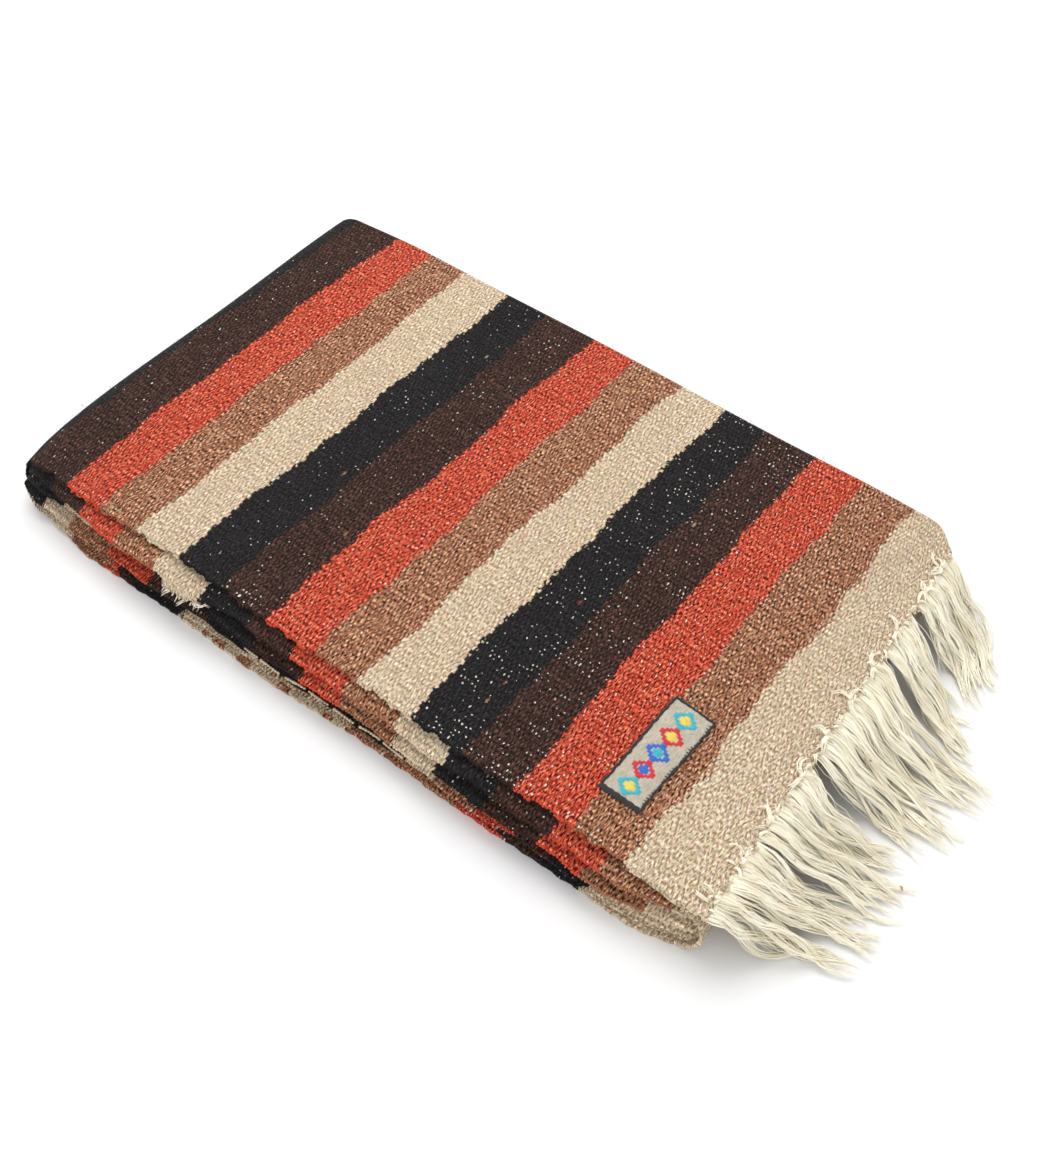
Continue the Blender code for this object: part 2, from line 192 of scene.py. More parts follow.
# Each stripe's edge wanders, as the weaver beats by hand
HAND_WAVES = [
    # height in stripe widths, turn along y, turn from stripe to stripe
    (0.030, 31, 2.4),
    (0.022, 74, -5.3),
    (0.012, 143, 9.0),
]
# The edge of the underneath run stands out past the plies above. Its stripes there are listed as they show
# along that edge, out of the regular order: partly the cloth's own stripes and other plies, partly painted
# shadow
UNDER_EDGE_STRIPES = [
    # number, x
    (-1, -0.331),
    (-2, -0.238),
    (-3, -0.232),
    (-4, -0.222),
    (-5, -0.155),
    (-5.9, -0.150),
    (-6.1, 0.120),
    (-7, 0.125),
    (-8, 0.165),
    (-9, 0.203),
    (-10, 0.242),
    (-10.9, 0.400),
]
UNDER_EDGE_Y = -0.2125
CREAM_END_X = 0.245
CREAM_END_STRIPE = -10.5
# How thickly white warp shows through, along x: little at the left, much towards the fringe
FLECK_SHARE = [
    # x, share
    (-0.38, 0.25),
    (-0.20, 0.35),
    (0.00, 0.60),
    (0.15, 1.0),
    (0.33, 0.8),
]
# Where the weft is worn thin and whole rows of warp show
BARE_PLACES = [
    # x, y, size
    (0.107, -0.197, 0.007),
    (0.071, -0.199, 0.005),
    (-0.101, -0.206, 0.006),
]


def smooth(low, high, value):
    """0 below low, 1 above high, and an S-curve between them."""
    share = np.clip((np.asarray(value, float) - low) / (high - low), 0, 1)
    return share * share * (3 - 2 * share)


def shift_along(x, y):
    """How far the real stack departs from a square one along x."""
    leftness = smooth(-0.25, -0.345, x)
    corner_pull = LEFT_CORNER_PULL * (np.maximum(0.0, -y) / -SELVEDGE_Y) ** 4
    far_push = LEFT_FAR_PUSH * smooth(0.0, 0.20, y)
    return leftness * (corner_pull - far_push) - END_SLANT * y * smooth(0.25, 0.32, x)


def place(x, y, z):
    """Bend the straight stack into its real plan and its slightly uneven height."""
    x, y, z = np.broadcast_arrays(np.asarray(x, float), y, z)
    farness = smooth(0.10, 0.21, y)
    rounding = FAR_CORNER_ROUND * smooth(0.280, 0.330, x) ** 1.6
    across = -farness * (rounding + FAR_CORNER_PULL * smooth(-0.27, -0.37, x))
    across = across + NEAR_WAVE * np.sin(NEAR_WAVE_TURN * x + 0.6) * smooth(-0.10, -0.21, y)
    height = 1 - NEAR_DROOP * smooth(-0.185, -0.215, y)
    height = height - CORNER_DROOP * smooth(0.27, 0.325, x) * smooth(0.08, 0.21, y)
    for share, turn_x, turn_y, phase in SWELLS:
        height = height + share * np.sin(turn_x * x + turn_y * y + phase)
    return np.stack([x + shift_along(x, y), y + across, z * height], axis=-1)


def top_height(x):
    """The top ply sinks a little where it lies over the right fold."""
    return STACK_HEIGHT - (STACK_HEIGHT - 2 * RIGHT_RADIUS - CLOTH - SOFT_GAP) * smooth(0.20, 0.285, x)


def fold_arc(centre_x, radius, start, end, steps):
    """Stations round a long fold: x, z and the way inwards in x and z."""
    angle = np.radians(start + (end - start) * np.linspace(0, 1, steps + 1))
    ways = [-np.cos(angle), -np.sin(angle)]
    return np.stack([centre_x - radius * ways[0], radius - radius * ways[1], *ways], axis=-1)


def run_stations(step=RUN_STEP):
    """The x of each section of the straight runs, from the right to the left."""
    return np.linspace(TOP_END_X, LEFT_CENTRE_X, round((TOP_END_X - LEFT_CENTRE_X) / step) + 1)


def outer_path():
    """The outer ply's way in side view: x, z and the way inwards at each station."""
    run = run_stations()
    still = np.zeros_like(run)
    top = np.stack([run, top_height(run), still, still - 1], axis=-1)
    left = fold_arc(LEFT_CENTRE_X, LEFT_RADIUS, 90, 270, FOLD_STEPS)
    under = np.stack([run, still, still, still + 1], axis=-1)[::-1]
    under = under[under[:, 0] < RIGHT_CENTRE_X]
    right = fold_arc(RIGHT_CENTRE_X, RIGHT_RADIUS, -90, 90, FOLD_STEPS)
    tucked = np.linspace(RIGHT_CENTRE_X, RIGHT_CENTRE_X - TUCKED_LENGTH, 7)[1:]
    tucked = np.stack([tucked, tucked * 0 + 2 * RIGHT_RADIUS, tucked * 0, tucked * 0 - 1], axis=-1)
    return np.concatenate([top, left[1:], under[1:], right, tucked])


def overhang(x, z):
    """How far the near edge of the outer ply stands out: the lower, the further."""
    lowness = 1 - smooth(0.0, 0.75 * STACK_HEIGHT, z)
    cornering = (1 - 0.7 * smooth(-0.27, -0.36, x)) * (1 - 0.8 * smooth(0.27, 0.32, x))
    along = UNDER_OVERHANG + (RIGHT_OVERHANG - UNDER_OVERHANG) * smooth(-0.10, 0.12, x)
    return along * lowness * cornering


def selvedge_run(travelled):
    """The edge's small unevenness: it steps in and out where the weft was pulled or left slack."""
    slow = 0.0008 * np.sin(travelled * 2 * math.pi / 0.031 + 1)
    slow = slow + 0.0006 * np.sin(travelled * 2 * math.pi / 0.053)
    steps = 0.0011 * np.tanh(3 * np.sin(travelled * 2 * math.pi / 0.0139 + 2 * np.sin(41 * travelled)))
    on_under_run = smooth(TOP_END_X - LEFT_CENTRE_X, TOP_END_X - LEFT_X + 0.06, travelled)
    return (slow + steps) * (1 - 0.6 * on_under_run)


def rumple(x, y):
    """The loose cloth's slight rise and fall over the plies beneath."""
    return sum(height * np.sin(turn_x * x + turn_y * y + phase) for height, turn_x, turn_y, phase in RUMPLES)


def loft(x, y, travelled):
    """The top ply's rumples, dying away at its edges and over the left fold."""
    sides = smooth(-0.212, -0.19, y) * smooth(0.212, 0.19, y)
    return rumple(x, y) * smooth(0, 0.04, travelled) * sides * smooth(-0.36, -0.31, x)


def top_surface(x, y, lift=0.0):
    """A point on the top ply, or a little above it."""
    points = place(x, y, top_height(np.asarray(x, float)))
    points[..., 2] += loft(points[..., 0], points[..., 1], TOP_END_X - np.asarray(x, float)) + lift
    return points


def grid_sheet(name, points, warp_way, weft_way, stripe, flecks):
    """A sheet from a grid of points, with its cloth measures as a UV map and its stripe numbers."""
    rows, columns = points.shape[:2]
    index = np.arange(rows * columns).reshape(rows, columns)
    faces = np.stack([index[:-1, :-1], index[:-1, 1:], index[1:, 1:], index[1:, :-1]], axis=-1).reshape(-1, 4)
    mesh = bpy.data.meshes.new(name)
    mesh.from_pydata(points.reshape(-1, 3).tolist(), [], faces.tolist())
    measures = np.stack(np.broadcast_arrays(warp_way, weft_way), axis=-1).reshape(-1, 2)
    uv_map = mesh.uv_layers.new(name="cloth_measures")
    uv_map.data.foreach_set("uv", measures[faces.reshape(-1)].astype(np.float32).reshape(-1))
    for label, values in (("stripe", stripe), ("flecks", flecks)):
        values = np.broadcast_to(values, (rows, columns)).astype(np.float32).reshape(-1)
        mesh.attributes.new(label, "FLOAT", "POINT").data.foreach_set("value", values)
    mesh.shade_smooth()
    piece = bpy.data.objects.new(name, mesh)
    bpy.context.scene.collection.objects.link(piece)
    return piece


def thicken(piece, thickness):
    """Give an open sheet its wall, on its inner side."""
    wall = piece.modifiers.new("wall", "SOLIDIFY")
    wall.thickness = thickness
    wall.offset = -1


def table_column(rows, column):
    """One column of a table, as numbers."""
    return np.array([row[column] for row in rows], float)


def top_stripe(x, y):
    """The stripe number at x, y on the unrolled outer ply."""
    numbers = table_column(TOP_STRIPES, 0)
    near = np.interp(x, table_column(TOP_STRIPES, 1), numbers)
    far = np.interp(x, table_column(TOP_STRIPES, 2), numbers)
    beyond = np.minimum(x - TOP_STRIPES[0][1], 0) / STRIPE_WIDTH
    farness = np.clip((y - SELVEDGE_Y) / (FAR_Y - SELVEDGE_Y), 0, 1)
    hand_wave = sum(height * np.sin(turn * y + lead * near) for height, turn, lead in HAND_WAVES)
    return near + (far - near) * farness + beyond + hand_wave


def flecks_at(x):
    """The share of white warp that shows at x."""
    return np.interp(x, table_column(FLECK_SHARE, 0), table_column(FLECK_SHARE, 1))


def make_outer_ply():
    """The outer ply's outside, laid out station by station along its path."""
    path = outer_path()
    travelled = np.concatenate([[0], np.cumsum(np.hypot(*np.diff(path[:, :2], axis=0).T))])
    x, z, inward_x, inward_z = (path[:, column][:, None] for column in range(4))
    travelled = travelled[:, None]
    near_edge = SELVEDGE_Y - overhang(x, z) + selvedge_run(travelled)
    even = np.linspace(0, 1, ACROSS_STEPS)[None, :]
    close = np.array(CLOSE_ROWS)[None, :]
    left_over = FAR_FOLD_Y - near_edge - CLOSE_ROWS_END
    flat_y = np.concatenate([near_edge + close, near_edge + CLOSE_ROWS_END + left_over * even], axis=1)
    turned = np.radians(np.linspace(0, 180, FAR_FOLD_STEPS + 1)[1:])[None, :]
    fold_y = FAR_FOLD_Y + FAR_FOLD_RADIUS * np.sin(turned) + 0 * x
    fold_depth = FAR_FOLD_RADIUS * (1 - np.cos(turned)) + 0 * x
    y = np.concatenate([flat_y, fold_y, TURNED_END_Y + 0 * x], axis=1)
    depth = np.concatenate([0 * flat_y, fold_depth, 2 * FAR_FOLD_RADIUS + 0 * x], axis=1)
    weft_way = 1 + np.concatenate([flat_y, FAR_FOLD_Y + FAR_FOLD_RADIUS * turned + 0 * x], axis=1)
    weft_way = np.concatenate([weft_way, weft_way[:, -1:] + 0.002], axis=1)
    points = place(x + inward_x * depth, y, z + inward_z * depth)
    on_top = (np.arange(len(path)) < len(run_stations()))[:, None]
    fraying = smooth(0.012, 0.0, travelled) * on_top
    points[..., 0] += fraying * (0.0016 * np.sin(y * 2 * math.pi / 0.0205 + 1.5) + 0.0005 * np.sin(900 * y))
    points[..., 2] += np.where(on_top & (depth == 0), loft(points[..., 0], points[..., 1], travelled), 0)
    unrolled_x = TOP_END_X - travelled + shift_along(x, y)
    stripe = top_stripe(unrolled_x, y)
    edge_number = np.interp(x, table_column(UNDER_EDGE_STRIPES, 1), table_column(UNDER_EDGE_STRIPES, 0))
    under = travelled > TOP_END_X - LEFT_CENTRE_X + math.pi * LEFT_RADIUS + 0.014
    mottle = 0.16 * np.sin(173 * x + 2) * np.sin(451 * x + 60 * y)
    mottle = mottle + 0.14 * np.sin(61 * x) * np.sin(97 * x + 1)
    stripe = np.where(under & (y < UNDER_EDGE_Y), edge_number + mottle, stripe)
    stripe = np.where(under & (x > CREAM_END_X), CREAM_END_STRIPE, stripe)
    flecks = flecks_at(points[..., 0]) + 0.7 * np.exp(-((y + 0.207) / 0.007) ** 2) * on_top
    for bare_x, bare_y, bare_size in BARE_PLACES:
        flecks = flecks + 3.2 * np.exp(-((x - bare_x) ** 2 + (y - bare_y) ** 2) / bare_size ** 2) * on_top
    piece = grid_sheet("outer_ply", points, travelled, weft_way, stripe, flecks)
    return piece, points[:, 0], travelled[:, 0], stripe[:, 0]


class Nodes:
    """Adds nodes to a tree and links them, so that a pattern reads as a sum."""

    def __init__(self, tree):
        self.tree = tree

    def add(self, kind, *values, **settings):
        """A node of this kind: values feed its first sockets, and settings are its own."""
        node = self.tree.nodes.new(kind)
        for name, value in settings.items():
            setattr(node, name, value)
        for socket, value in zip(node.inputs, values):
            self.feed(socket, value)
        return node

    def feed(self, socket, value):
        """Link a socket to what feeds it, or set its value."""
        if isinstance(value, bpy.types.NodeSocket):
            self.tree.links.new(value, socket)
        else:
            socket.default_value = value

    def fill(self, node, values):
        """Feed a node's sockets by their names."""
        for name, value in values.items():
            self.feed(node.inputs[name], value)
        return node

    def maths(self, operation, *values):
        return self.add("ShaderNodeMath", *values, operation=operation).outputs[0]

    def times(self, first, second):
        return self.maths("MULTIPLY", first, second)

    def plus(self, first, second):
        return self.maths("ADD", first, second)

    def minus(self, first, second):
        return self.maths("SUBTRACT", first, second)

    def over(self, first, second):
        return self.maths("DIVIDE", first, second)

    def power(self, value, exponent):
        return self.maths("POWER", value, exponent)

    def times_plus(self, value, factor, added):
        return self.maths("MULTIPLY_ADD", value, factor, added)

    def vector(self, operation, *values):
        return self.add("ShaderNodeVectorMath", *values, operation=operation).outputs[0]

    def scaled(self, vector, share):
        node = self.add("ShaderNodeVectorMath", vector, operation="SCALE")
        self.feed(node.inputs["Scale"], share)
        return node.outputs[0]

    def joined(self, *parts):
        return self.add("ShaderNodeCombineXYZ", *parts).outputs[0]

    def named(self, name):
        """A number that the mesh carries, for a material."""
        return self.add("ShaderNodeAttribute", attribute_name=name).outputs["Fac"]

    def carried(self, name, kind="FLOAT"):
        """A number or direction that the mesh carries, for a geometry tree."""
        return self.add("GeometryNodeInputNamedAttribute", name, data_type=kind).outputs[0]

    def mix(self, share, first, second, blend="MIX"):
        """Two colours mixed by a share."""
        node = self.add("ShaderNodeMix", data_type="RGBA", blend_type=blend)
        for socket, value in zip((node.inputs[0], node.inputs[6], node.inputs[7]), (share, first, second)):
            self.feed(socket, value)
        return node.outputs[2]

    def step(self, value, low, high):
        """0 below low, 1 above high and smooth between them."""
        node = self.add("ShaderNodeMapRange", interpolation_type="SMOOTHSTEP")
        for socket, fed in zip(node.inputs, (value, low, high, 0.0, 1.0)):
            self.feed(socket, fed)
        return node.outputs[0]

    def noise(self, where, scale, detail=2.0):
        """A noise texture: its value and its colour."""
        node = self.fill(self.add("ShaderNodeTexNoise"), {"Vector": where, "Scale": scale, "Detail": detail})
        return node.outputs[0], node.outputs[1]

    def swing(self, where, scale, detail=2.0):
        """A noise of directions, from -0.5 to 0.5 each way."""
        return self.vector("SUBTRACT", self.noise(where, scale, detail)[1], (0.5, 0.5, 0.5))

    def shaded(self, colour, tone):
        """A colour made darker or lighter by a number."""
        return self.mix(1.0, colour, self.joined(tone, tone, tone), "MULTIPLY")

    def parts(self, vector):
        return self.add("ShaderNodeSeparateXYZ", vector).outputs

    def pick(self, share, colours):
        """One of several colours, with no blend between them."""
        node = self.add("ShaderNodeValToRGB", share)
        node.color_ramp.interpolation = "CONSTANT"
        elements = node.color_ramp.elements
        while len(elements) < len(colours):
            elements.new(0.5)
        for number, colour in enumerate(colours):
            elements[number].position = number / len(colours)
            elements[number].color = colour
        return node.outputs[0]


def seen(red, green, blue):
    """A colour as it is seen on a screen, out of 255, as the linear one that a node takes."""
    return tuple((part / 255) ** 2.2 for part in (red, green, blue)) + (1.0,)


# The five dyed wefts. Each is carded from several wools, so its grains differ from one another.
WEFT_COLORS = [
    # main, lighter grain that also serves the weave as painted highlight on raised tops, deep grain that also
    # serves it as painted shade between grains
    (seen(36, 34, 35), seen(58, 56, 58), seen(12, 11, 11)),
    (seen(61, 42, 36), seen(110, 79, 68), seen(19, 12, 11)),
    (seen(201, 75, 54), seen(250, 144, 108), seen(76, 15, 13)),
    (seen(160, 106, 78), seen(238, 192, 152), seen(50, 26, 19)),
    (seen(210, 192, 163), seen(244, 230, 206), seen(176, 138, 104)),
]
WHITE_WARP = seen(255, 250, 234)
PICK = 0.0035
WARP_SPACING = 0.0054
GRAIN_SLANT = -0.12
STRAND_WIDTH_IN_CLOTH = 0.0011
STRAND_LENGTH_IN_CLOTH = 0.0034
DRIFTS = [
    # turns in a metre, how far the weave drifts that way
    (60.0, (0.0042, 0.0050, 0.0)),
    (420.0, (0.0014, 0.0024, 0.0)),
]
SLUB_COLORS = [seen(170, 84, 56), seen(206, 186, 156), seen(110, 58, 50), seen(204, 148, 92)]


def new_finish(name):
    """A new material, with its nodes."""
    material = bpy.data.materials.new(name)
    material.use_nodes = True
    return material, Nodes(material.node_tree)


def complete(material, nodes, colour, bumps, values):
    """Give a material's shader its colour, its bump and its plain values."""
    shader = material.node_tree.nodes["Principled BSDF"]
    nodes.feed(shader.inputs["Base Color"], colour)
    nodes.feed(shader.inputs["Normal"], nodes.fill(nodes.add("ShaderNodeBump"), bumps).outputs[0])
    nodes.fill(shader, values)
    return material


def weft_colour(nodes, stripe, chance):
    """The colour of a grain or yarn from its stripe number and three random numbers."""
    wrapped = nodes.maths("WRAP", nodes.maths("FLOOR", stripe), 5.0, 0.0)
    share = nodes.over(nodes.plus(wrapped, 0.5), 5.0)
    first, second, third = nodes.parts(chance)[:3]
    main, lighter, odd = (nodes.pick(share, [row[column] for row in WEFT_COLORS]) for column in range(3))
    colour = nodes.mix(nodes.times(nodes.step(first, 0.62, 0.95), 0.30), main, lighter)
    colour = nodes.mix(nodes.times(nodes.step(second, 0.72, 0.98), 0.22), colour, odd)
    tone = nodes.times_plus(third, 0.24, 0.88)
    colour = nodes.shaded(colour, tone)
    return colour, lighter, odd


def woven_cloth(name):
    """The weave, in the cloth's own measures: weft grains stacked over each warp, and slanted."""
    material, nodes = new_finish(name)
    measures = nodes.add("ShaderNodeUVMap", uv_map="cloth_measures").outputs[0]
    drifts = [nodes.vector("MULTIPLY", nodes.swing(measures, scale), reach) for scale, reach in DRIFTS]
    where = nodes.vector("ADD", measures, nodes.vector("ADD", *drifts))
    warp_way, weft_way = nodes.parts(where)[:2]
    column_at = nodes.over(weft_way, WARP_SPACING)
    column = nodes.maths("FLOOR", column_at)
    across = nodes.minus(nodes.maths("FRACT", column_at), 0.5)
    half_step = nodes.times(nodes.maths("MODULO", column, 2.0), 0.5)
    shear = nodes.times_plus(across, GRAIN_SLANT, half_step)
    row_at = nodes.plus(nodes.over(warp_way, PICK), shear)
    row = nodes.maths("FLOOR", row_at)
    along = nodes.minus(nodes.maths("FRACT", row_at), 0.5)
    chance_node = nodes.add("ShaderNodeTexWhiteNoise", nodes.joined(row, column, 0.0), noise_dimensions="3D")
    chance, chance_value = chance_node.outputs["Color"], chance_node.outputs["Value"]
    near_square = nodes.power(nodes.times(along, 2.1), 2.0)
    far_square = nodes.power(nodes.times(across, 1.5), 2.0)
    from_middle = nodes.maths("SQRT", nodes.plus(near_square, far_square))
    fullness = nodes.times_plus(nodes.parts(chance)[2], 0.30, 0.85)
    float_share = nodes.minus(1.0, nodes.step(nodes.times(from_middle, fullness), 0.10, 1.05))
    strand_way = nodes.vector("DIVIDE", measures, (STRAND_WIDTH_IN_CLOTH, STRAND_LENGTH_IN_CLOTH, 1.0))
    strand_noise, strand_tint = nodes.noise(strand_way, 1.0, 1.0)
    strands = nodes.step(strand_noise, 0.32, 0.68)
    raised = nodes.plus(nodes.times(float_share, 0.35), nodes.times(strands, 0.65))
    stripe = nodes.named("stripe")
    ragged = nodes.times(nodes.minus(nodes.noise(measures, 130.0)[0], 0.5), 0.07)
    to_middle = nodes.times(nodes.times_plus(across, -GRAIN_SLANT, along), PICK / STRIPE_WIDTH)
    stripe = nodes.plus(nodes.plus(stripe, ragged), to_middle)
    colour, lighter, deep = weft_colour(nodes, stripe, chance)
    # Painted shade and highlight: low parts between grains take the deep grain colour as painted shade, and
    # raised tops lean towards the lighter grain colour as a painted highlight
    colour = nodes.mix(nodes.step(raised, 0.02, 0.52), deep, colour)
    colour = nodes.mix(nodes.times(nodes.step(raised, 0.60, 0.95), 0.8), colour, lighter)
    broad = nodes.times_plus(nodes.noise(measures, 38.0, 3.0)[0], 0.16, 0.92)
    # Painted shade in the hollows between grains, multiplied by a broad random tone
    painted_hollow_shade = nodes.times_plus(raised, 0.45, 0.80)
    shade = nodes.times(broad, painted_hollow_shade)
    colour = nodes.shaded(colour, shade)
    tint = nodes.vector("ADD", nodes.vector("MULTIPLY", strand_tint, (0.50, 0.50, 0.50)), (0.75, 0.75, 0.75))
    colour = nodes.mix(1.0, colour, tint, "MULTIPLY")
    drawn_out = nodes.vector("MULTIPLY", measures, (1.0, 0.45, 1.0))
    slub = nodes.add("ShaderNodeTexVoronoi", drawn_out, voronoi_dimensions="2D")
    slub.inputs["Scale"].default_value = 42.0
    slub_chance = nodes.parts(slub.outputs["Color"])
    slub_near = nodes.plus(slub.outputs["Distance"], nodes.times(nodes.noise(measures, 700.0)[0], 0.10))
    slub_near = nodes.minus(1.0, nodes.step(slub_near, 0.075, 0.115))
    slub_share = nodes.times(slub_near, nodes.maths("GREATER_THAN", slub_chance[0], 0.90))
    colour = nodes.mix(nodes.times(slub_share, 0.55), colour, nodes.pick(slub_chance[1], SLUB_COLORS))
    flecks = nodes.named("flecks")
    rows_of_warp = nodes.vector("MULTIPLY", measures, (0.40, 1.5, 1.0))
    thin_place = nodes.step(nodes.noise(rows_of_warp, 40.0, 2.0)[0], 0.42, 0.66)
    likely = nodes.times(flecks, nodes.times_plus(thin_place, 0.36, 0.09))
    bare = nodes.maths("LESS_THAN", chance_value, likely)
    brightness = nodes.over(chance_value, likely)
    nudges = nodes.parts(nodes.vector("SUBTRACT", chance, (0.5, 0.5, 0.5)))
    dot_along = nodes.times_plus(nudges[0], 0.32, nodes.plus(along, 0.30))
    dot_across = nodes.times_plus(nudges[2], 0.50, across)
    dot_near = nodes.power(nodes.over(dot_along, 0.16), 2.0)
    dot_length = nodes.times_plus(nodes.power(nodes.parts(chance)[1], 3.0), 0.16, 0.09)
    dot_far = nodes.power(nodes.over(dot_across, dot_length), 2.0)
    dot_size = nodes.power(nodes.times_plus(flecks, 0.18, 0.94), 2.0)
    from_dot = nodes.over(nodes.plus(dot_near, dot_far), dot_size)
    dot = nodes.minus(1.0, nodes.step(from_dot, 0.5, 1.3))
    dot = nodes.times(dot, nodes.times(bare, nodes.power(brightness, 0.35)))
    colour = nodes.mix(dot, colour, WHITE_WARP)
    fibre = nodes.times(nodes.noise(measures, 2400.0, 2.0)[0], 0.35)
    loft = nodes.times(nodes.noise(measures, 210.0, 2.0)[0], 0.9)
    height = nodes.plus(nodes.times_plus(raised, 1.2, fibre), nodes.times_plus(dot, 0.6, loft))
    return complete(material, nodes, colour, {"Strength": 1.0, "Distance": 0.0012, "Height": height}, {
        "Roughness": 0.95, "Specular IOR Level": 0.15, "Sheen Weight": 0.03, "Sheen Roughness": 0.6,
    })


weave = woven_cloth("woven_stripes_cloth")
outer_ply, edge_points, edge_travelled, edge_stripe = make_outer_ply()
outer_ply.data.materials.append(weave)
thicken(outer_ply, CLOTH)
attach(outer_ply, "root")
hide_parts("outer_cloth")


# The inner plies' near edges: the cloth folded on itself four times over, so that its rounded
# folds show between the top ply and the lowest one. The same cloth as the outer ply, with its
# stripes where that ply happens to lie.

NEAR_LAYERS = [
    # one table for each layer, from the top down: x, lowest height, reach
    [(-0.360, 0.0375, 0.2165), (-0.300, 0.0370, 0.2185), (-0.260, 0.0362, 0.2225), (-0.200, 0.0356, 0.2265),
     (-0.155, 0.0356, 0.2285), (-0.130, 0.0370, 0.2225), (-0.100, 0.0380, 0.2205), (0.250, 0.0380, 0.2215)],
    [(-0.360, 0.0245, 0.2200), (-0.315, 0.0245, 0.2160), (-0.162, 0.0245, 0.2175), (-0.125, 0.0245, 0.2255),
     (0.250, 0.0245, 0.2265)],
    [(-0.360, 0.0125, 0.2240), (-0.162, 0.0125, 0.2285), (-0.125, 0.0125, 0.2255), (0.250, 0.0125, 0.2265)],
    [(-0.360, 0.0036, 0.2250), (-0.162, 0.0036, 0.2270), (-0.125, 0.0036, 0.2250), (0.250, 0.0036, 0.2255)],
]
NEAR_GROOVE = 0.2055
NEAR_WALL = 0.0012
PLY_TURNS = 18
PLY_STEP = 0.0033
LIP_POWER = 1.55
LIP_BLUNTNESS = 0.48
GAP_SHARE = 0.20
LIP_TURN = 12
NEAR_STRIPES = [
    # one table for each layer, from the top down: number, x
    [(0, -0.380), (1, -0.330), (2, -0.283), (3, -0.233), (4, -0.189), (5, -0.135), (6, -0.088), (7, -0.041),
     (8, 0.009), (9, 0.063), (10, 0.110), (11, 0.158), (12, 0.206), (13, 0.251), (14, 0.299), (15, 0.360)],
    [(6, -0.365), (5, -0.315), (4, -0.272), (3, -0.224), (2, -0.176), (1, -0.135), (0.5, -0.110), (1, -0.078),
     (2, -0.029), (3, 0.012), (4, 0.064), (5, 0.106), (6, 0.151), (7, 0.202), (8, 0.239), (9, 0.282),
     (10, 0.350)],
    [(6, -0.385), (5, -0.345), (4, -0.305), (3, -0.247), (2, -0.197), (1, -0.135), (0.1, 0.075), (-1, 0.105),
     (-2, 0.145), (-3, 0.180), (-4, 0.212), (-5, 0.245), (-5.9, 0.340)],
    # The lowest layer takes the underneath run's edge order, partly painted shadow
    [(5, -0.340), (4, -0.300), (3, -0.240), (2, -0.235), (1, -0.222), (0, -0.155), (-0.9, -0.150),
     (-1.1, 0.120), (-2, 0.125), (-3, 0.165), (-4, 0.203), (-5, 0.242), (-5.9, 0.340)],
]


def near_row(layer, x, column):
    """A near layer's lowest height, in column 1, or its reach, in column 2, at x."""
    return np.interp(x, table_column(NEAR_LAYERS[layer], 0), table_column(NEAR_LAYERS[layer], column))


def closing_sections(centre_x, radius, start, end):
    """The inner plies' sections inside a long fold, where they close towards its tip."""
    angle = np.radians(np.linspace(start, end, 12))
    half = (radius - CLOTH - SOFT_GAP) * np.sin(angle)
    x = centre_x + (radius - CLOTH - SOFT_GAP) * np.cos(angle)
    return np.stack([x, radius - half, radius + half, 0.006 * (1 - np.sin(angle))], axis=-1)


def core_stations():
    """x, low, high and set back of each section of the inner plies, from the left to the right."""
    inset = CLOTH + SOFT_GAP
    x = run_stations(PLY_STEP)
    x = x[x <= RIGHT_CENTRE_X]
    high = top_height(x) - inset
    tucked = smooth(RIGHT_CENTRE_X - 0.100, RIGHT_CENTRE_X - TUCKED_LENGTH - 0.024, x)
    high = high + (2 * RIGHT_RADIUS - inset - high) * tucked
    straight = np.stack([x, inset + 0 * x, high, 0 * x], axis=-1)
    right = closing_sections(RIGHT_CENTRE_X, RIGHT_RADIUS, 10, 88)
    left = closing_sections(LEFT_CENTRE_X, LEFT_RADIUS, 92, 170)
    return np.concatenate([right, straight, left])[::-1]


def fitted_height(height, low, high):
    """A height in the full stack, squeezed between low and high where the long folds close."""
    full_low, full_high = CLOTH + SOFT_GAP, STACK_HEIGHT - CLOTH - SOFT_GAP
    return low + (high - low) * (np.clip(height, full_low, full_high) - full_low) / (full_high - full_low)


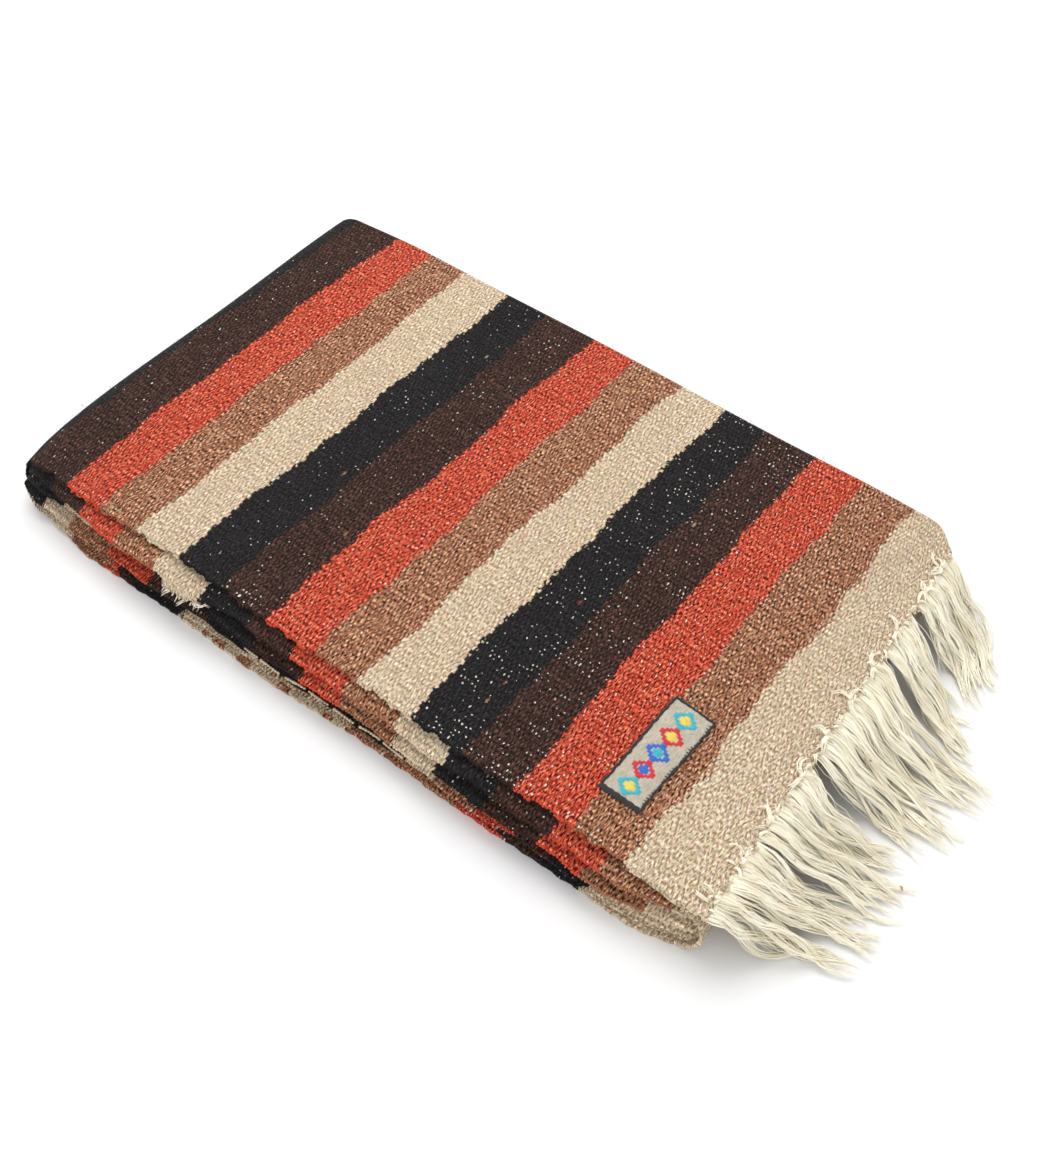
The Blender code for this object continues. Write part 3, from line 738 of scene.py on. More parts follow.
def make_near_plies():
    """The near side of the inner plies, as one sheet creased into its four rounded folds."""
    x, low, high, set_back = (core_stations()[:, column][:, None] for column in range(4))
    right_in = 0.013 * smooth(0.25, 0.32, x)
    turns = np.linspace(0, 1, PLY_TURNS)[None, :]
    opened = np.clip((turns - GAP_SHARE) / (1 - GAP_SHARE), 0, 1)
    groove_share = 0.30 + 0.70 * smooth(-0.372, -0.338, x)
    bulge = 1 - (1 - np.sin(math.pi * opened ** LIP_POWER) ** LIP_BLUNTNESS) * groove_share
    columns, stripes, weft, lips = [], [], [], []
    top = STACK_HEIGHT - CLOTH
    for layer in range(len(NEAR_LAYERS)):
        lowest = near_row(layer, x, 1)
        sag = 0.0011 * np.sin(x * 2 * math.pi / 0.083 + 2 * layer)
        sag = sag + 0.0006 * np.sin(x * 2 * math.pi / 0.029 + layer)
        y = -(NEAR_GROOVE + (near_row(layer, x, 2) + 0.8 * sag - NEAR_GROOVE) * bulge)
        slant = 0.0016 * np.sin(x * 2 * math.pi / 0.110 + 1.7 * layer) * np.sin(math.pi * turns)
        z = top + (lowest - top) * turns + slant
        points = place(x, y + set_back + right_in, fitted_height(z, low, high))
        numbers, places = table_column(NEAR_STRIPES[layer], 0), table_column(NEAR_STRIPES[layer], 1)
        wave = 0.03 * np.sin(230 * z + 3 * x / STRIPE_WIDTH)
        columns.append(points)
        stripes.append(np.interp(x, places, numbers) + wave)
        reached = np.cumsum(np.linalg.norm(np.diff(points, axis=1), axis=-1), axis=1)
        weft.append(2 + 0.05 * layer + np.concatenate([0 * x, reached], axis=1))
        lips.append((points[:, LIP_TURN], stripes[-1][:, LIP_TURN]))
        top = lowest - 0.0002
    points = np.concatenate(columns, axis=1)
    piece = grid_sheet("inner_plies_near", points, 1 - x, np.concatenate(weft, axis=1),
                       np.concatenate(stripes, axis=1), flecks_at(x))
    return piece, lips


near_plies, near_lips = make_near_plies()
near_plies.data.materials.append(weave)
thicken(near_plies, NEAR_WALL)
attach(near_plies, "root")
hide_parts("folded_layers")


# The inner plies' far edges: the same cloth in three rounded folds, between the outer ply's two
# turned edges. They stand out over most of the length and flatten towards both ends.

FAR_LAYERS = [
    # highest, reach
    (0.0405, 0.2100),
    (0.0365, 0.2160),
    (0.0240, 0.2110),
]
FAR_GROOVE = 0.2035
FAR_WALL = 0.0010
FAR_STRIPE_STARTS = (0.35, 4.1, 1.6)


def make_far_plies():
    """The far side of the inner plies, as one sheet creased into its folds."""
    x, low, high = (core_stations()[:, column][:, None] for column in range(3))
    turns = np.linspace(0, 1, PLY_TURNS)[None, :]
    fullness = smooth(RIGHT_CENTRE_X - 0.090, RIGHT_CENTRE_X - 0.110, x)
    fullness = fullness * smooth(LEFT_CENTRE_X + 0.004, LEFT_CENTRE_X + 0.02, x)
    bulge = np.sin(math.pi * turns) ** 0.5
    set_in = TURNED_END_Y - 2 * SOFT_GAP
    columns = [place(x, set_in, fitted_height(CLOTH + SOFT_GAP, low, high))]
    stripes, weft = [0 * x], [2 + 0 * x]
    bottom = 2 * FAR_FOLD_RADIUS + SOFT_GAP
    for layer, (highest, reach) in enumerate(reversed(FAR_LAYERS)):
        y = FAR_GROOVE + (reach - FAR_GROOVE) * bulge * fullness
        columns.append(place(x, y, fitted_height(bottom + (highest - bottom) * turns, low, high)))
        start = FAR_STRIPE_STARTS[layer]
        stripes.append(start + x / STRIPE_WIDTH * (-1) ** layer + 0 * turns + 0.1 * np.sin(9 * x))
        weft.append(2 + 0.03 * layer + (highest - bottom) * 1.2 * turns + 0 * x)
        bottom = highest
    columns.append(place(x, set_in, fitted_height(STACK_HEIGHT - CLOTH, low, high)))
    stripes.append(0 * x)
    weft.append(2.1 + 0 * x)
    columns = [column.reshape(len(x), -1, 3) for column in columns]
    return grid_sheet("inner_plies_far", np.concatenate(columns, axis=1), 1 - x, np.concatenate(weft, axis=1),
                      np.concatenate(stripes, axis=1), flecks_at(x))


far_plies = make_far_plies()
far_plies.data.materials.append(weave)
thicken(far_plies, FAR_WALL)
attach(far_plies, "root")
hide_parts("folded_layers")


# The selvedge: the weft turns back round the outermost warps, and each turn stands out of the
# edge as a small soft loop. It runs along the whole near edge of the outer ply.

LOOP_PITCH = 0.0029
LOOP_SIZE = (0.0031, 0.0028, 0.0029)
INNER_LOOP_SIZE = (0.0030, 0.0024, 0.0022)
LUMPINESS = 0.0012
CREAM_STRIPE = 4.5


def new_geometry_tree(name, inputs):
    """A Geometry Nodes tree with named number inputs after its geometry, and those inputs' sockets."""
    tree = bpy.data.node_groups.new(name, "GeometryNodeTree")
    tree.interface.new_socket("Geometry", in_out="INPUT", socket_type="NodeSocketGeometry")
    for label, kind, value in inputs:
        tree.interface.new_socket(label, in_out="INPUT", socket_type=kind).default_value = value
    tree.interface.new_socket("Geometry", in_out="OUTPUT", socket_type="NodeSocketGeometry")
    nodes = Nodes(tree)
    return tree, nodes, nodes.add("NodeGroupInput").outputs


def finish_tree(nodes, geometry, material):
    """End a tree with its instances made real and its material set."""
    real = nodes.add("GeometryNodeRealizeInstances", geometry).outputs[0]
    painted = nodes.add("GeometryNodeSetMaterial", real)
    painted.inputs["Material"].default_value = material
    nodes.add("NodeGroupOutput", painted.outputs[0])


def grown(name, seed_mesh, tree, values):
    """Run a tree on a seed mesh and keep the result as a plain mesh in a new object."""
    carrier = bpy.data.objects.new(name, seed_mesh)
    bpy.context.scene.collection.objects.link(carrier)
    modifier = carrier.modifiers.new("grow", "NODES")
    modifier.node_group = tree
    for item in tree.interface.items_tree:
        if item.in_out == "INPUT" and item.name in values:
            modifier[item.identifier] = values[item.name]
    bpy.context.view_layer.update()
    made = bpy.data.meshes.new_from_object(carrier.evaluated_get(bpy.context.evaluated_depsgraph_get()))
    carrier.modifiers.remove(modifier)
    carrier.data = made
    made.name = name
    return carrier


def seed_points(name, points, **attributes):
    """A mesh of loose points that carry numbers or directions for a tree."""
    mesh = bpy.data.meshes.new(name)
    mesh.from_pydata(np.asarray(points, float).tolist(), [], [])
    for label, values in attributes.items():
        values = np.asarray(values, np.float32)
        kind, field = ("FLOAT_VECTOR", "vector") if values.ndim == 2 else ("FLOAT", "value")
        mesh.attributes.new(label, kind, "POINT").data.foreach_set(field, values.reshape(-1))
    return mesh


def yarn_finish(name):
    """Loose dyed yarn of the stripe it belongs to: soft fibre with no weave."""
    material, nodes = new_finish(name)
    where = nodes.add("ShaderNodeTexCoord").outputs["Object"]
    stripe = nodes.named("stripe")
    chance = nodes.noise(where, 700.0, 1.0)[1]
    colour = weft_colour(nodes, stripe, chance)[0]
    fibre = nodes.noise(where, 2600.0)[0]
    return complete(material, nodes, colour, {"Strength": 0.7, "Distance": 0.0004, "Height": fibre}, {
        "Roughness": 0.95, "Specular IOR Level": 0.15,
    })


def loop_tree(name, material, roundness):
    """Small soft lumps on seed points, each turned along the edge and a little uneven."""
    inputs = [
        ("Loop size", "NodeSocketVector", LOOP_SIZE),
        ("Lumpiness", "NodeSocketFloat", LUMPINESS),
        ("Seed", "NodeSocketInt", 3),
    ]
    tree, nodes, fed = new_geometry_tree(name, inputs)
    bead = nodes.add("GeometryNodeMeshIcoSphere", 0.5, roundness).outputs[0]
    bead = nodes.add("GeometryNodeSetShadeSmooth", bead).outputs[0]
    along = nodes.carried("along", "FLOAT_VECTOR")
    turned = nodes.add("FunctionNodeAlignRotationToVector", axis="X")
    nodes.feed(turned.inputs["Vector"], along)
    uneven = nodes.add("FunctionNodeRandomValue", data_type="FLOAT")
    for socket in uneven.inputs:
        if socket.enabled and socket.name in ("Min", "Max"):
            socket.default_value = 0.75 if socket.name == "Min" else 1.15
    nodes.feed([s for s in uneven.inputs if s.name == "Seed"][0], fed["Seed"])
    evenness = nodes.times(nodes.carried("share"), [s for s in uneven.outputs if s.enabled][0])
    placed = nodes.fill(nodes.add("GeometryNodeInstanceOnPoints"), {
        "Points": fed["Geometry"], "Instance": bead, "Rotation": turned.outputs[0],
        "Scale": nodes.scaled(fed["Loop size"], evenness),
    })
    real = nodes.add("GeometryNodeRealizeInstances", placed.outputs[0]).outputs[0]
    where = nodes.add("GeometryNodeInputPosition").outputs[0]
    bulge = nodes.times(nodes.minus(nodes.noise(where, 420.0)[0], 0.5), fed["Lumpiness"])
    normal = nodes.add("GeometryNodeInputNormal").outputs[0]
    moved = nodes.fill(nodes.add("GeometryNodeSetPosition", real), {"Offset": nodes.scaled(normal, bulge)})
    finish_tree(nodes, moved.outputs[0], material)
    return tree


def along_line(at, stations, values):
    """Points or numbers between the rows of a table, one for each place in at."""
    return np.stack([np.interp(at, stations, column) for column in values.T], axis=-1)


loose_yarn = yarn_finish("woven_stripes_yarn")
loop_at = np.arange(0.001, edge_travelled[-1] - 0.03, LOOP_PITCH)
loop_points = along_line(loop_at, edge_travelled, edge_points)
loop_along = np.gradient(loop_points, axis=0)
loop_points[:, ::2] += along_line(loop_at, edge_travelled, outer_path()[:, 2:]) * CLOTH / 2
loop_stripes = np.floor(np.interp(loop_at, edge_travelled, edge_stripe)) + 0.5
loop_share = 1 - 0.45 * smooth(TOP_END_X - LEFT_CENTRE_X, TOP_END_X - LEFT_X + 0.06, loop_at)
loop_seeds = seed_points("selvedge_loops", loop_points, along=loop_along, stripe=loop_stripes,
                         share=loop_share)
selvedge_tree = loop_tree("selvedge_loops", loose_yarn, 2)
selvedge = grown("selvedge_loops", loop_seeds, selvedge_tree, {
    "Loop size": LOOP_SIZE, "Lumpiness": LUMPINESS, "Seed": 3,
})

# The inner plies' own selvedges hang a little over the folds beneath them
lip_points, lip_along, lip_stripes = [], [], []
for ply_points, ply_stripes in near_lips[:2]:
    at = np.arange(ply_points[:, 0].min() + 0.02, ply_points[:, 0].max() - 0.008, LOOP_PITCH)
    order = np.argsort(ply_points[:, 0])
    line = along_line(at, ply_points[order, 0], ply_points[order])
    line[:, 2] += 0.0005 * np.sin(at * 613) - 0.0004
    lip_points.append(line)
    lip_along.append(np.gradient(line, axis=0))
    lip_stripes.append(np.floor(np.interp(at, ply_points[order, 0], ply_stripes[order])) + 0.5)
cream_at = np.arange(-0.086, 0.082, 0.0026)
cream_at = cream_at[np.sin(cream_at * 251 + 0.5) < 0.86]
cream_y = -0.2262 - 0.0006 * np.sin(cream_at * 90)
cream_line = place(cream_at, cream_y, 0.0205 + 0.0007 * np.sin(cream_at * 170))
lip_points.append(cream_line)
lip_along.append(np.gradient(cream_line, axis=0))
lip_stripes.append(0 * cream_at + CREAM_STRIPE)
lip_seeds = seed_points("inner_selvedge_loops", np.concatenate(lip_points), along=np.concatenate(lip_along),
                        stripe=np.concatenate(lip_stripes),
                        share=np.ones(sum(len(line) for line in lip_points)))
inner_selvedges = grown("inner_selvedge_loops", lip_seeds, selvedge_tree, {
    "Loop size": INNER_LOOP_SIZE, "Lumpiness": LUMPINESS, "Seed": 12,
})
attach(inner_selvedges, "root")
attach(selvedge, "root")


# The fringe: the blanket's warp ends, fine soft white cotton, gathered into tufts by a small knot
# at the cloth's edge. The tufts fan out, drop to the floor and end in loose pointed locks.

FRINGE_LOCKS = [
    # root y, y where it reaches x 0.36, tip x, tip y, half width
    (-0.204, -0.187, 0.404, -0.154, 0.0060),
    (-0.190, -0.176, 0.441, -0.146, 0.0065),
    (-0.175, -0.157, 0.434, -0.130, 0.0055),
    (-0.160, -0.147, 0.433, -0.117, 0.0060),
    (-0.146, -0.138, 0.416, -0.111, 0.0055),
    (-0.128, -0.117, 0.441, -0.090, 0.0080),
    (-0.113, -0.106, 0.432, -0.083, 0.0080),
    (-0.098, -0.094, 0.426, -0.076, 0.0080),
    (-0.082, -0.083, 0.413, -0.062, 0.0075),
    (-0.067, -0.074, 0.420, -0.052, 0.0060),
    (-0.042, -0.038, 0.421, -0.044, 0.0065),
    (-0.026, -0.030, 0.437, -0.024, 0.0075),
    (-0.010, -0.016, 0.442, -0.016, 0.0080),
    (0.006, -0.002, 0.424, 0.000, 0.0080),
    (0.022, 0.011, 0.438, 0.014, 0.0080),
    (0.038, 0.024, 0.441, 0.021, 0.0075),
    (0.052, 0.036, 0.445, 0.032, 0.0065),
    (0.076, 0.067, 0.418, 0.053, 0.0065),
    (0.092, 0.079, 0.409, 0.060, 0.0075),
    (0.108, 0.091, 0.400, 0.074, 0.0065),
    (0.136, 0.127, 0.388, 0.094, 0.0060),
    (0.152, 0.139, 0.392, 0.105, 0.0070),
    (0.168, 0.150, 0.393, 0.117, 0.0070),
    (0.184, 0.160, 0.396, 0.129, 0.0065),
    (0.200, 0.172, 0.384, 0.139, 0.0055),
]
STRANDS_IN_LOCK = 5
YARNS_IN_STRAND = 10
YARN_THICKNESS = 0.00135
STRAND_WIDTH = 0.0027
STRAND_POINTS = 14
STRAND_FLOOR = 0.0022
STRAND_TWIST = 7.0
LOCK_ROOT = 0.0078
LOCK_MIDDLE_X = 0.36
LANDING = 0.74
STRAY_YARNS = 3
STRAY_THICKNESS = 0.00045
KNOT_SIZE = (0.0046, 0.0040, 0.0032)
KNOT_PLACES = (-0.192, -0.157, -0.117, -0.072, -0.0315, 0.008, 0.046, 0.089, 0.1465, 0.187)
ENDS_AT_KNOT = 6
FRAYED_ENDS = 48
END_LOOP_PITCH = 0.0022
END_LOOP_SIZE = (0.0031, 0.0034, 0.0030)


def white_cotton(name, colour, shaded):
    """Soft undyed cotton: fine fibre, with a painted shade, a little warmer, on some yarns and in patches,
    for yarns that lie deep.
    """
    material, nodes = new_finish(name)
    where = nodes.add("ShaderNodeTexCoord").outputs["Object"]
    draw = nodes.add("ShaderNodeAttribute", attribute_name="yarn_draw").outputs["Vector"]
    own = nodes.times_plus(nodes.parts(draw)[2], 0.26, 0.34)
    patch = nodes.times_plus(nodes.noise(where, 60.0, 3.0)[0], 1.0, -0.40)
    # Painted shade: some yarns and patches take the second, shaded colour
    colour = nodes.mix(nodes.step(nodes.plus(own, patch), 0.2, 1.0), colour, shaded)
    speck = nodes.step(nodes.noise(where, 160.0, 0.0)[0], 0.84, 0.86)
    colour = nodes.mix(nodes.times(speck, 0.8), colour, seen(196, 110, 80))
    fibre = nodes.noise(where, 1500.0, 3.0)[0]
    return complete(material, nodes, colour, {"Strength": 0.6, "Distance": 0.0005, "Height": fibre}, {
        "Roughness": 0.85, "Specular IOR Level": 0.2, "Sheen Weight": 0.1,
    })


def yarn_tree(name, material):
    """Many fine yarns along each seed line: spread across it, crimped, uneven in length.

    Each yarn keeps the same three random numbers from its root to its tip.
    """
    inputs = [
        ("Yarns in a lock", "NodeSocketInt", YARNS_IN_STRAND),
        ("Yarn thickness", "NodeSocketFloat", YARN_THICKNESS),
        ("Depth share", "NodeSocketFloat", 0.5),
        ("Twist", "NodeSocketFloat", 0.0),
        ("Crimp", "NodeSocketFloat", 0.0045),
        ("Shortest", "NodeSocketFloat", 0.80),
        ("Sides", "NodeSocketInt", 4),
        ("Lowest", "NodeSocketFloat", 0.0009),
        ("Seed", "NodeSocketInt", 5),
    ]
    tree, nodes, fed = new_geometry_tree(name, inputs)
    lines = nodes.add("GeometryNodeMeshToCurve", fed["Geometry"]).outputs[0]
    many = nodes.fill(nodes.add("GeometryNodeDuplicateElements", domain="SPLINE"), {
        "Geometry": lines, "Amount": fed["Yarns in a lock"],
    })
    draw = nodes.add("FunctionNodeRandomValue", data_type="FLOAT_VECTOR")
    draw.inputs[0].default_value = (-1, -1, -1)
    draw.inputs[1].default_value = (1, 1, 1)
    nodes.fill(draw, {"ID": nodes.add("GeometryNodeInputIndex").outputs[0], "Seed": fed["Seed"]})
    kept = nodes.add("GeometryNodeStoreNamedAttribute", data_type="FLOAT_VECTOR", domain="CURVE")
    nodes.fill(kept, {
        "Geometry": many.outputs["Geometry"], "Name": "yarn_draw", "Value": draw.outputs[0],
    })
    drawn = nodes.carried("yarn_draw", "FLOAT_VECTOR")
    first, second, third = nodes.parts(drawn)[:3]
    spare = nodes.minus(1.0, fed["Shortest"])
    kept_length = nodes.minus(1.0, nodes.times(nodes.maths("ABSOLUTE", third), spare))
    whole_yarn = nodes.add("GeometryNodeFieldOnDomain", domain="CURVE", data_type="FLOAT")
    nodes.feed(whole_yarn.inputs[0], kept_length)
    trimmed = nodes.add("GeometryNodeTrimCurve", mode="FACTOR")
    nodes.feed(trimmed.inputs["Curve"], kept.outputs[0])
    nodes.feed(trimmed.inputs[3], whole_yarn.outputs[0])
    spread = nodes.carried("spread")
    tangent = nodes.add("GeometryNodeInputTangent").outputs[0]
    across = nodes.vector("NORMALIZE", nodes.vector("CROSS_PRODUCT", tangent, (0.0, 0.0, 1.0)))
    parameter = nodes.add("GeometryNodeSplineParameter").outputs
    turn = nodes.times(nodes.times(parameter["Length"], fed["Twist"]), 2 * math.pi)
    cosine, sine = nodes.maths("COSINE", turn), nodes.maths("SINE", turn)
    sideways = nodes.minus(nodes.times(first, cosine), nodes.times(second, sine))
    upwards = nodes.plus(nodes.times(first, sine), nodes.times(second, cosine))
    side = nodes.scaled(across, nodes.times(sideways, spread))
    rise = nodes.joined(0.0, 0.0, nodes.times(nodes.times(upwards, spread), fed["Depth share"]))
    far_along = nodes.times(parameter["Length"], 38.0)
    own_way = nodes.joined(far_along, nodes.times(first, 40.0), nodes.times(third, 40.0))
    wave = nodes.swing(own_way, 1.0)
    grow = nodes.times(nodes.step(parameter["Factor"], 0.0, 0.35), fed["Crimp"])
    where = nodes.vector("ADD", nodes.add("GeometryNodeInputPosition").outputs[0], side)
    where = nodes.vector("ADD", where, nodes.vector("ADD", rise, nodes.scaled(wave, grow)))
    east, north, high = nodes.parts(where)[:3]
    moved = nodes.fill(nodes.add("GeometryNodeSetPosition", trimmed.outputs[0]), {
        "Position": nodes.joined(east, north, nodes.maths("MAXIMUM", high, fed["Lowest"])),
    })
    profile = nodes.add("GeometryNodeCurvePrimitiveCircle")
    nodes.fill(profile, {"Resolution": fed["Sides"], "Radius": 0.5})
    thinning = nodes.minus(1.0, nodes.times(nodes.power(parameter["Factor"], 3.0), 0.5))
    uneven = nodes.times_plus(second, 0.25, 1.0)
    thick = nodes.times(nodes.times(thinning, uneven), fed["Yarn thickness"])
    swept = nodes.fill(nodes.add("GeometryNodeCurveToMesh"), {
        "Curve": moved.outputs[0], "Profile Curve": profile.outputs[0], "Scale": thick, "Fill Caps": True,
    })
    finish_tree(nodes, nodes.add("GeometryNodeSetShadeSmooth", swept.outputs[0]).outputs[0], material)
    return tree


def seed_lines(name, lines, **attributes):
    """A mesh of open lines of points that carry numbers for a tree."""
    points = np.concatenate(lines)
    ends = np.cumsum([len(line) for line in lines])
    edges = [(index, index + 1) for index in range(len(points) - 1) if index + 1 not in ends]
    mesh = bpy.data.meshes.new(name)
    mesh.from_pydata(points.tolist(), edges, [])
    for label, values in attributes.items():
        values = np.concatenate(values).astype(np.float32)
        mesh.attributes.new(label, "FLOAT", "POINT").data.foreach_set("value", values)
    return mesh


def strand_line(number, strand, middle_y, tip_x, tip_y, width):
    """One strand of a lock: out from the cloth's edge, down, along the floor, and to a point."""
    root_y = FRINGE_LOCKS[number][0]
    apart = (strand + 0.5) / STRANDS_IN_LOCK * 2 - 1
    mood = 12.9 * number + 7.7 * strand
    root = place(TOP_END_X - 0.0015, root_y + LOCK_ROOT * apart, top_height(TOP_END_X) - CLOTH / 2)
    share = np.linspace(0, 1, STRAND_POINTS)
    fall = smooth(-0.04, LANDING + 0.10 * math.sin(mood), share)
    length = 0.93 + 0.10 * math.sin(1.7 * mood)
    plan_x = root[0] + (tip_x - root[0]) * length * share
    level = root[1] - LOCK_ROOT * apart
    plan_y = np.interp(plan_x, (root[0], LOCK_MIDDLE_X, tip_x), (level, middle_y, tip_y))
    plan_y = np.convolve(np.pad(plan_y, 2, "edge"), np.ones(5) / 5, "valid")
    widths = (LOCK_ROOT, 0.9 * LOCK_ROOT, width, 0.75 * width, 0.35 * width)
    gathered = np.interp(share, (0, 0.15, 0.45, 0.80, 1.0), widths)
    wave = 0.0038 * np.sin(share * (8 + 3 * math.sin(mood)) + mood) * smooth(0.05, 0.3, share)
    strayed = 0.0060 * math.sin(2.7 * mood) * smooth(0.3, 1.0, share) ** 1.5
    plan_y = plan_y + apart * gathered + wave + strayed
    low = STRAND_FLOOR + 0.0014 * (1 + math.sin(3.1 * mood))
    return np.column_stack([plan_x, plan_y, root[2] + (low - root[2]) * fall])


cotton = white_cotton("fringe_cotton", seen(255, 250, 232), seen(240, 228, 198))
strand_share = np.linspace(0, 1, STRAND_POINTS)
strand_shape = np.interp(strand_share, (0, 0.08, 0.35, 0.75, 1.0), (0.9, 1.0, 1.1, 0.9, 0.15))
strand_lines = []
for number, row in enumerate(FRINGE_LOCKS):
    strand_lines += [strand_line(number, strand, *row[1:]) for strand in range(STRANDS_IN_LOCK)]
strand_spread = [strand_shape * STRAND_WIDTH] * len(strand_lines)
strand_tree = yarn_tree("fringe_yarns", cotton)
fringe_seeds = seed_lines("fringe_locks", strand_lines, spread=strand_spread)
fringe_locks = grown("fringe_locks", fringe_seeds, strand_tree, {
    "Yarns in a lock": YARNS_IN_STRAND, "Yarn thickness": YARN_THICKNESS, "Depth share": 0.55,
    "Twist": STRAND_TWIST, "Crimp": 0.0052, "Shortest": 0.76, "Sides": 4, "Lowest": 0.0007, "Seed": 5,
})
stray_spread = [spread * 2.2 for spread in strand_spread]
stray_seeds = seed_lines("fringe_strays", strand_lines, spread=stray_spread)
fringe_strays = grown("fringe_strays", stray_seeds, strand_tree, {
    "Yarns in a lock": STRAY_YARNS, "Yarn thickness": STRAY_THICKNESS, "Depth share": 0.5, "Twist": 9.0,
    "Crimp": 0.0085, "Shortest": 0.6, "Sides": 3, "Lowest": 0.0005, "Seed": 15,
})
for piece in (fringe_locks, fringe_strays):
    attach(piece, "root")
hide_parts("fringe")

knot_points, knot_along, end_lines, end_spread = [], [], [], []
for number, knot_y in enumerate(KNOT_PLACES):
    root = place(TOP_END_X - 0.0005, knot_y, top_height(TOP_END_X) - 0.0004)
    knot_points.append(root)
    knot_along.append((0.6, 0.5 * math.sin(5 * number), 0.1))
    for part in range(ENDS_AT_KNOT):
        length = 0.014 + 0.007 * math.sin(2.3 * number + 2 * part)
        turn = math.pi + 2.1 * math.sin(3.7 * number + 2.5 * part)
        share = np.linspace(0, 1, 8)
        curl = 2.2 * math.sin(1.9 * number + 4.1 * part)
        plan_x = root[0] + length * np.cumsum(np.cos(turn + curl * share)) / 8
        plan_y = root[1] + length * np.cumsum(np.sin(turn + curl * share)) / 8
        off_cloth = smooth(TOP_END_X - 0.001, TOP_END_X + 0.010, plan_x)
        height = root[2] + 0.0020 + 0.0020 * np.sin(math.pi * share) - 0.006 * off_cloth
        end_lines.append(np.column_stack([plan_x, plan_y, height]))
        end_spread.append(np.full(8, 0.0013))
for number in range(FRAYED_ENDS):
    frayed_y = -0.207 + 0.414 * (number + 0.5 + 0.4 * math.sin(5.1 * number)) / FRAYED_ENDS
    root = place(TOP_END_X - 0.0010, frayed_y, top_height(TOP_END_X) - 0.0006)
    share = np.linspace(0, 1, 6)
    length = 0.0055 + 0.0030 * math.sin(3.3 * number)
    turn = 1.7 * math.sin(8.7 * number)
    plan_x = root[0] + length * share * math.cos(turn)
    plan_y = root[1] + length * share * math.sin(turn + 0.8 * math.sin(number))
    height = root[2] + 0.0024 * np.sin(math.pi * share) - 0.0015 * share
    end_lines.append(np.column_stack([plan_x, plan_y, height]))
    end_spread.append(np.full(6, 0.0012))
knot_seeds = seed_points("fringe_knots", knot_points, along=knot_along, share=np.ones(len(knot_points)))
knot_tree = loop_tree("fringe_knots", cotton, 3)
fringe_knots = grown("fringe_knots", knot_seeds, knot_tree, {
    "Loop size": KNOT_SIZE, "Lumpiness": 0.0035, "Seed": 8,
})
end_line_seeds = seed_lines("fringe_knot_ends", end_lines, spread=end_spread)
knot_ends = grown("fringe_knot_ends", end_line_seeds, strand_tree, {
    "Yarns in a lock": 5, "Yarn thickness": 0.0010, "Depth share": 0.4, "Twist": 0.0,
    "Crimp": 0.0055, "Shortest": 0.4, "Sides": 4, "Lowest": 0.0009, "Seed": 6,
})

# The last wefts of the cloth's end stand out between the tufts as a ragged row of turns
end_y = np.arange(-0.2095, 0.2095, END_LOOP_PITCH)
end_out = 0.0010 * np.sin(end_y * 2 * math.pi / 0.0205 + 1.5)
end_out = end_out + 0.0024 * np.sin(end_y * 2113) * np.sin(end_y * 367)
end_height = top_height(TOP_END_X) - 0.0014 + 0.0009 * np.sin(end_y * 1471)
end_lumps = place(TOP_END_X + end_out, end_y, end_height)
end_seeds = seed_points("end_loops", end_lumps, along=np.gradient(end_lumps, axis=0),
                        stripe=0 * end_y + CREAM_STRIPE, share=0 * end_y + 1)
end_loops = grown("end_loops", end_seeds, selvedge_tree, {
    "Loop size": END_LOOP_SIZE, "Lumpiness": 0.0022, "Seed": 21,
})
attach(end_loops, "root")
for piece in (fringe_knots, knot_ends):
    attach(piece, "root")


# The other end of the blanket, tucked between the plies: a scrap of its cream edge hangs out of
# the near side, with its short warp ends and a few loose white threads beside it.

INNER_END_LEFT = -0.174
INNER_END_RIGHT = -0.136
SCRAP_ROWS = [
    # outward, height
    (-0.0010, 0.0425),
    (0.0004, 0.0405),
    (0.0010, 0.0380),
    (0.0012, 0.0350),
    (0.0014, 0.0322),
]
SCRAP_BOTTOM = SCRAP_ROWS[-1][1]
SCRAP_WALL = 0.0018
INNER_WAY = np.array([-0.35, -1.05, -0.85])
SCRAP_TUFTS = 7
LOOSE_THREADS = [
    # x and height where each starts and ends
    (-0.139, -0.129, 0.0352, 0.0322),
    (-0.136, -0.122, 0.0372, 0.0350),
]


def make_scrap():
    """The scrap of cloth: a short flap over the second fold, with a ragged lower edge."""
    x = np.linspace(INNER_END_LEFT, INNER_END_RIGHT, 26)[:, None]
    out, z = (table_column(SCRAP_ROWS, column)[None, :] for column in range(2))
    lowness = smooth(SCRAP_ROWS[0][1], SCRAP_BOTTOM, z)
    ragged = (0.0016 * np.sin(x * 900) + 0.0012 * np.sin(x * 391 + 1)) * lowness
    drop = 0.003 * smooth(INNER_END_LEFT + 0.012, INNER_END_LEFT, x) * lowness
    points = place(x - 0.3 * drop, -near_row(0, x, 2) - out - 0.2 * drop, z + ragged - drop)
    return grid_sheet("inner_end_cloth", points, 1 - x, 3 - z, 4.5 + 0 * x * z, 0.1)


scrap = make_scrap()
scrap.data.materials.append(weave)
thicken(scrap, SCRAP_WALL)
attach(scrap, "root")
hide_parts("inner_end")

